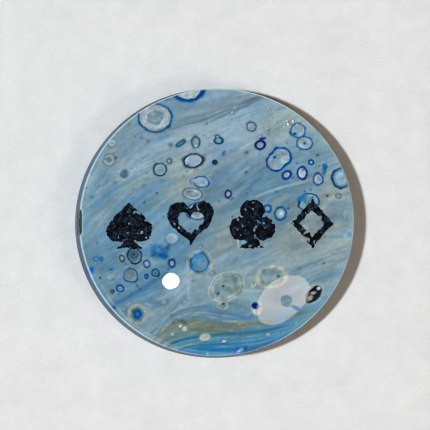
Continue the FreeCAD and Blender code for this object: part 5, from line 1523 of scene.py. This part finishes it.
world = bpy.data.worlds.new("room")
scene.world = world
world.use_nodes = True
wt = world.node_tree
bg = wt.nodes["Background"]
bg.inputs["Color"].default_value = (*ROOM, 1)
bg.inputs["Strength"].default_value = 1.0
pale = wt.nodes.new("ShaderNodeBackground")                # what lies beyond the paper, straight ahead
pale.inputs["Color"].default_value = (0.34, 0.34, 0.335, 1)
ray = wt.nodes.new("ShaderNodeLightPath")
both = wt.nodes.new("ShaderNodeMixShader")
link(wt, ray.outputs["Is Camera Ray"], both.inputs[0])
link(wt, bg.outputs[0], both.inputs[1])
link(wt, pale.outputs[0], both.inputs[2])
link(wt, both.outputs[0], wt.nodes["World Output"].inputs["Surface"])

# the umbrella: a fabric panel seen as the pale shape low on the right, with its lamp head dark in front
s, w = mirror(*UMB_AT)
dist = 0.75
centre = s + w * dist


def seen(px, py, along=dist):
    """The place on the umbrella's plane that is mirrored at a crown point."""
    a, b = mirror(px, py)
    k = (centre - a).dot(w) / b.dot(w)
    return a + b * (k * along / dist)


outline = [seen(*q) for q in UMB]
mid = sum(outline, Vector()) / len(outline)
me = bpy.data.meshes.new("umbrella_panel")
vs, fs = [mid], []
steps = 8
for k in range(1, steps + 1):
    vs += [mid + (o_ - mid) * (k / steps) for o_ in outline]
L = len(outline)
for e in range(L):
    fs.append((0, 1 + e, 1 + (e + 1) % L))
for k in range(steps - 1):
    for e in range(L):
        a, b = 1 + k * L, 1 + (k + 1) * L
        fs.append((a + e, b + e, b + (e + 1) % L, a + (e + 1) % L))
me.from_pydata([tuple(v) for v in vs], [], fs)
umb = bpy.data.objects.new("umbrella_panel", me)
scene.collection.objects.link(umb)
m, nt, out = material("umbrella")
vec = coords(nt)
em = nt.nodes.new("ShaderNodeEmission")
link(nt, ramp(nt, noise_node(nt, vec, 90.0, 2.0), [(0.3, UMB_COLOUR), (0.7, tuple(v * 0.93 for v in UMB_COLOUR))]), em.inputs["Color"])
em.inputs["Strength"].default_value = UMB_STRENGTH
finish_with(nt, out, em.outputs[0])
me.materials.append(m)
umb.visible_diffuse = True


def card(name, pts, colour):
    me = bpy.data.meshes.new(name)
    me.from_pydata([tuple(seen(*q, along=dist * 0.93)) for q in pts], [], [tuple(range(len(pts)))])
    o = bpy.data.objects.new(name, me)
    scene.collection.objects.link(o)
    m, nt, out = material(name)
    vec = coords(nt)
    dd = nt.nodes.new("ShaderNodeBsdfDiffuse")
    link(nt, ramp(nt, noise_node(nt, vec, 30.0), [(0.3, colour), (0.7, tuple(v * 0.8 for v in colour))]), dd.inputs["Color"])
    finish_with(nt, out, dd.outputs[0])
    me.materials.append(m)
    o.visible_shadow = False
    return o


t = np.linspace(0, 2 * math.pi, 33)[:-1]
card("lamp_head", [(HEAD[0] + HEAD[2] * math.cos(v), HEAD[1] + HEAD[2] * math.sin(v)) for v in t], (0.01, 0.01, 0.012))
card("lamp_arm", ARM, (0.01, 0.01, 0.012))

scene.view_settings.view_transform = "Standard"
scene.view_settings.look = "None"
scene.view_settings.exposure = 0.0
scene.cycles.max_bounces = 12
scene.cycles.transparent_max_bounces = 16
scene.cycles.caustics_reflective = False
scene.cycles.caustics_refractive = False
scene.cycles.blur_glossy = 0.0
scene.cycles.use_denoising = True
scene.cycles.filter_width = 1.1
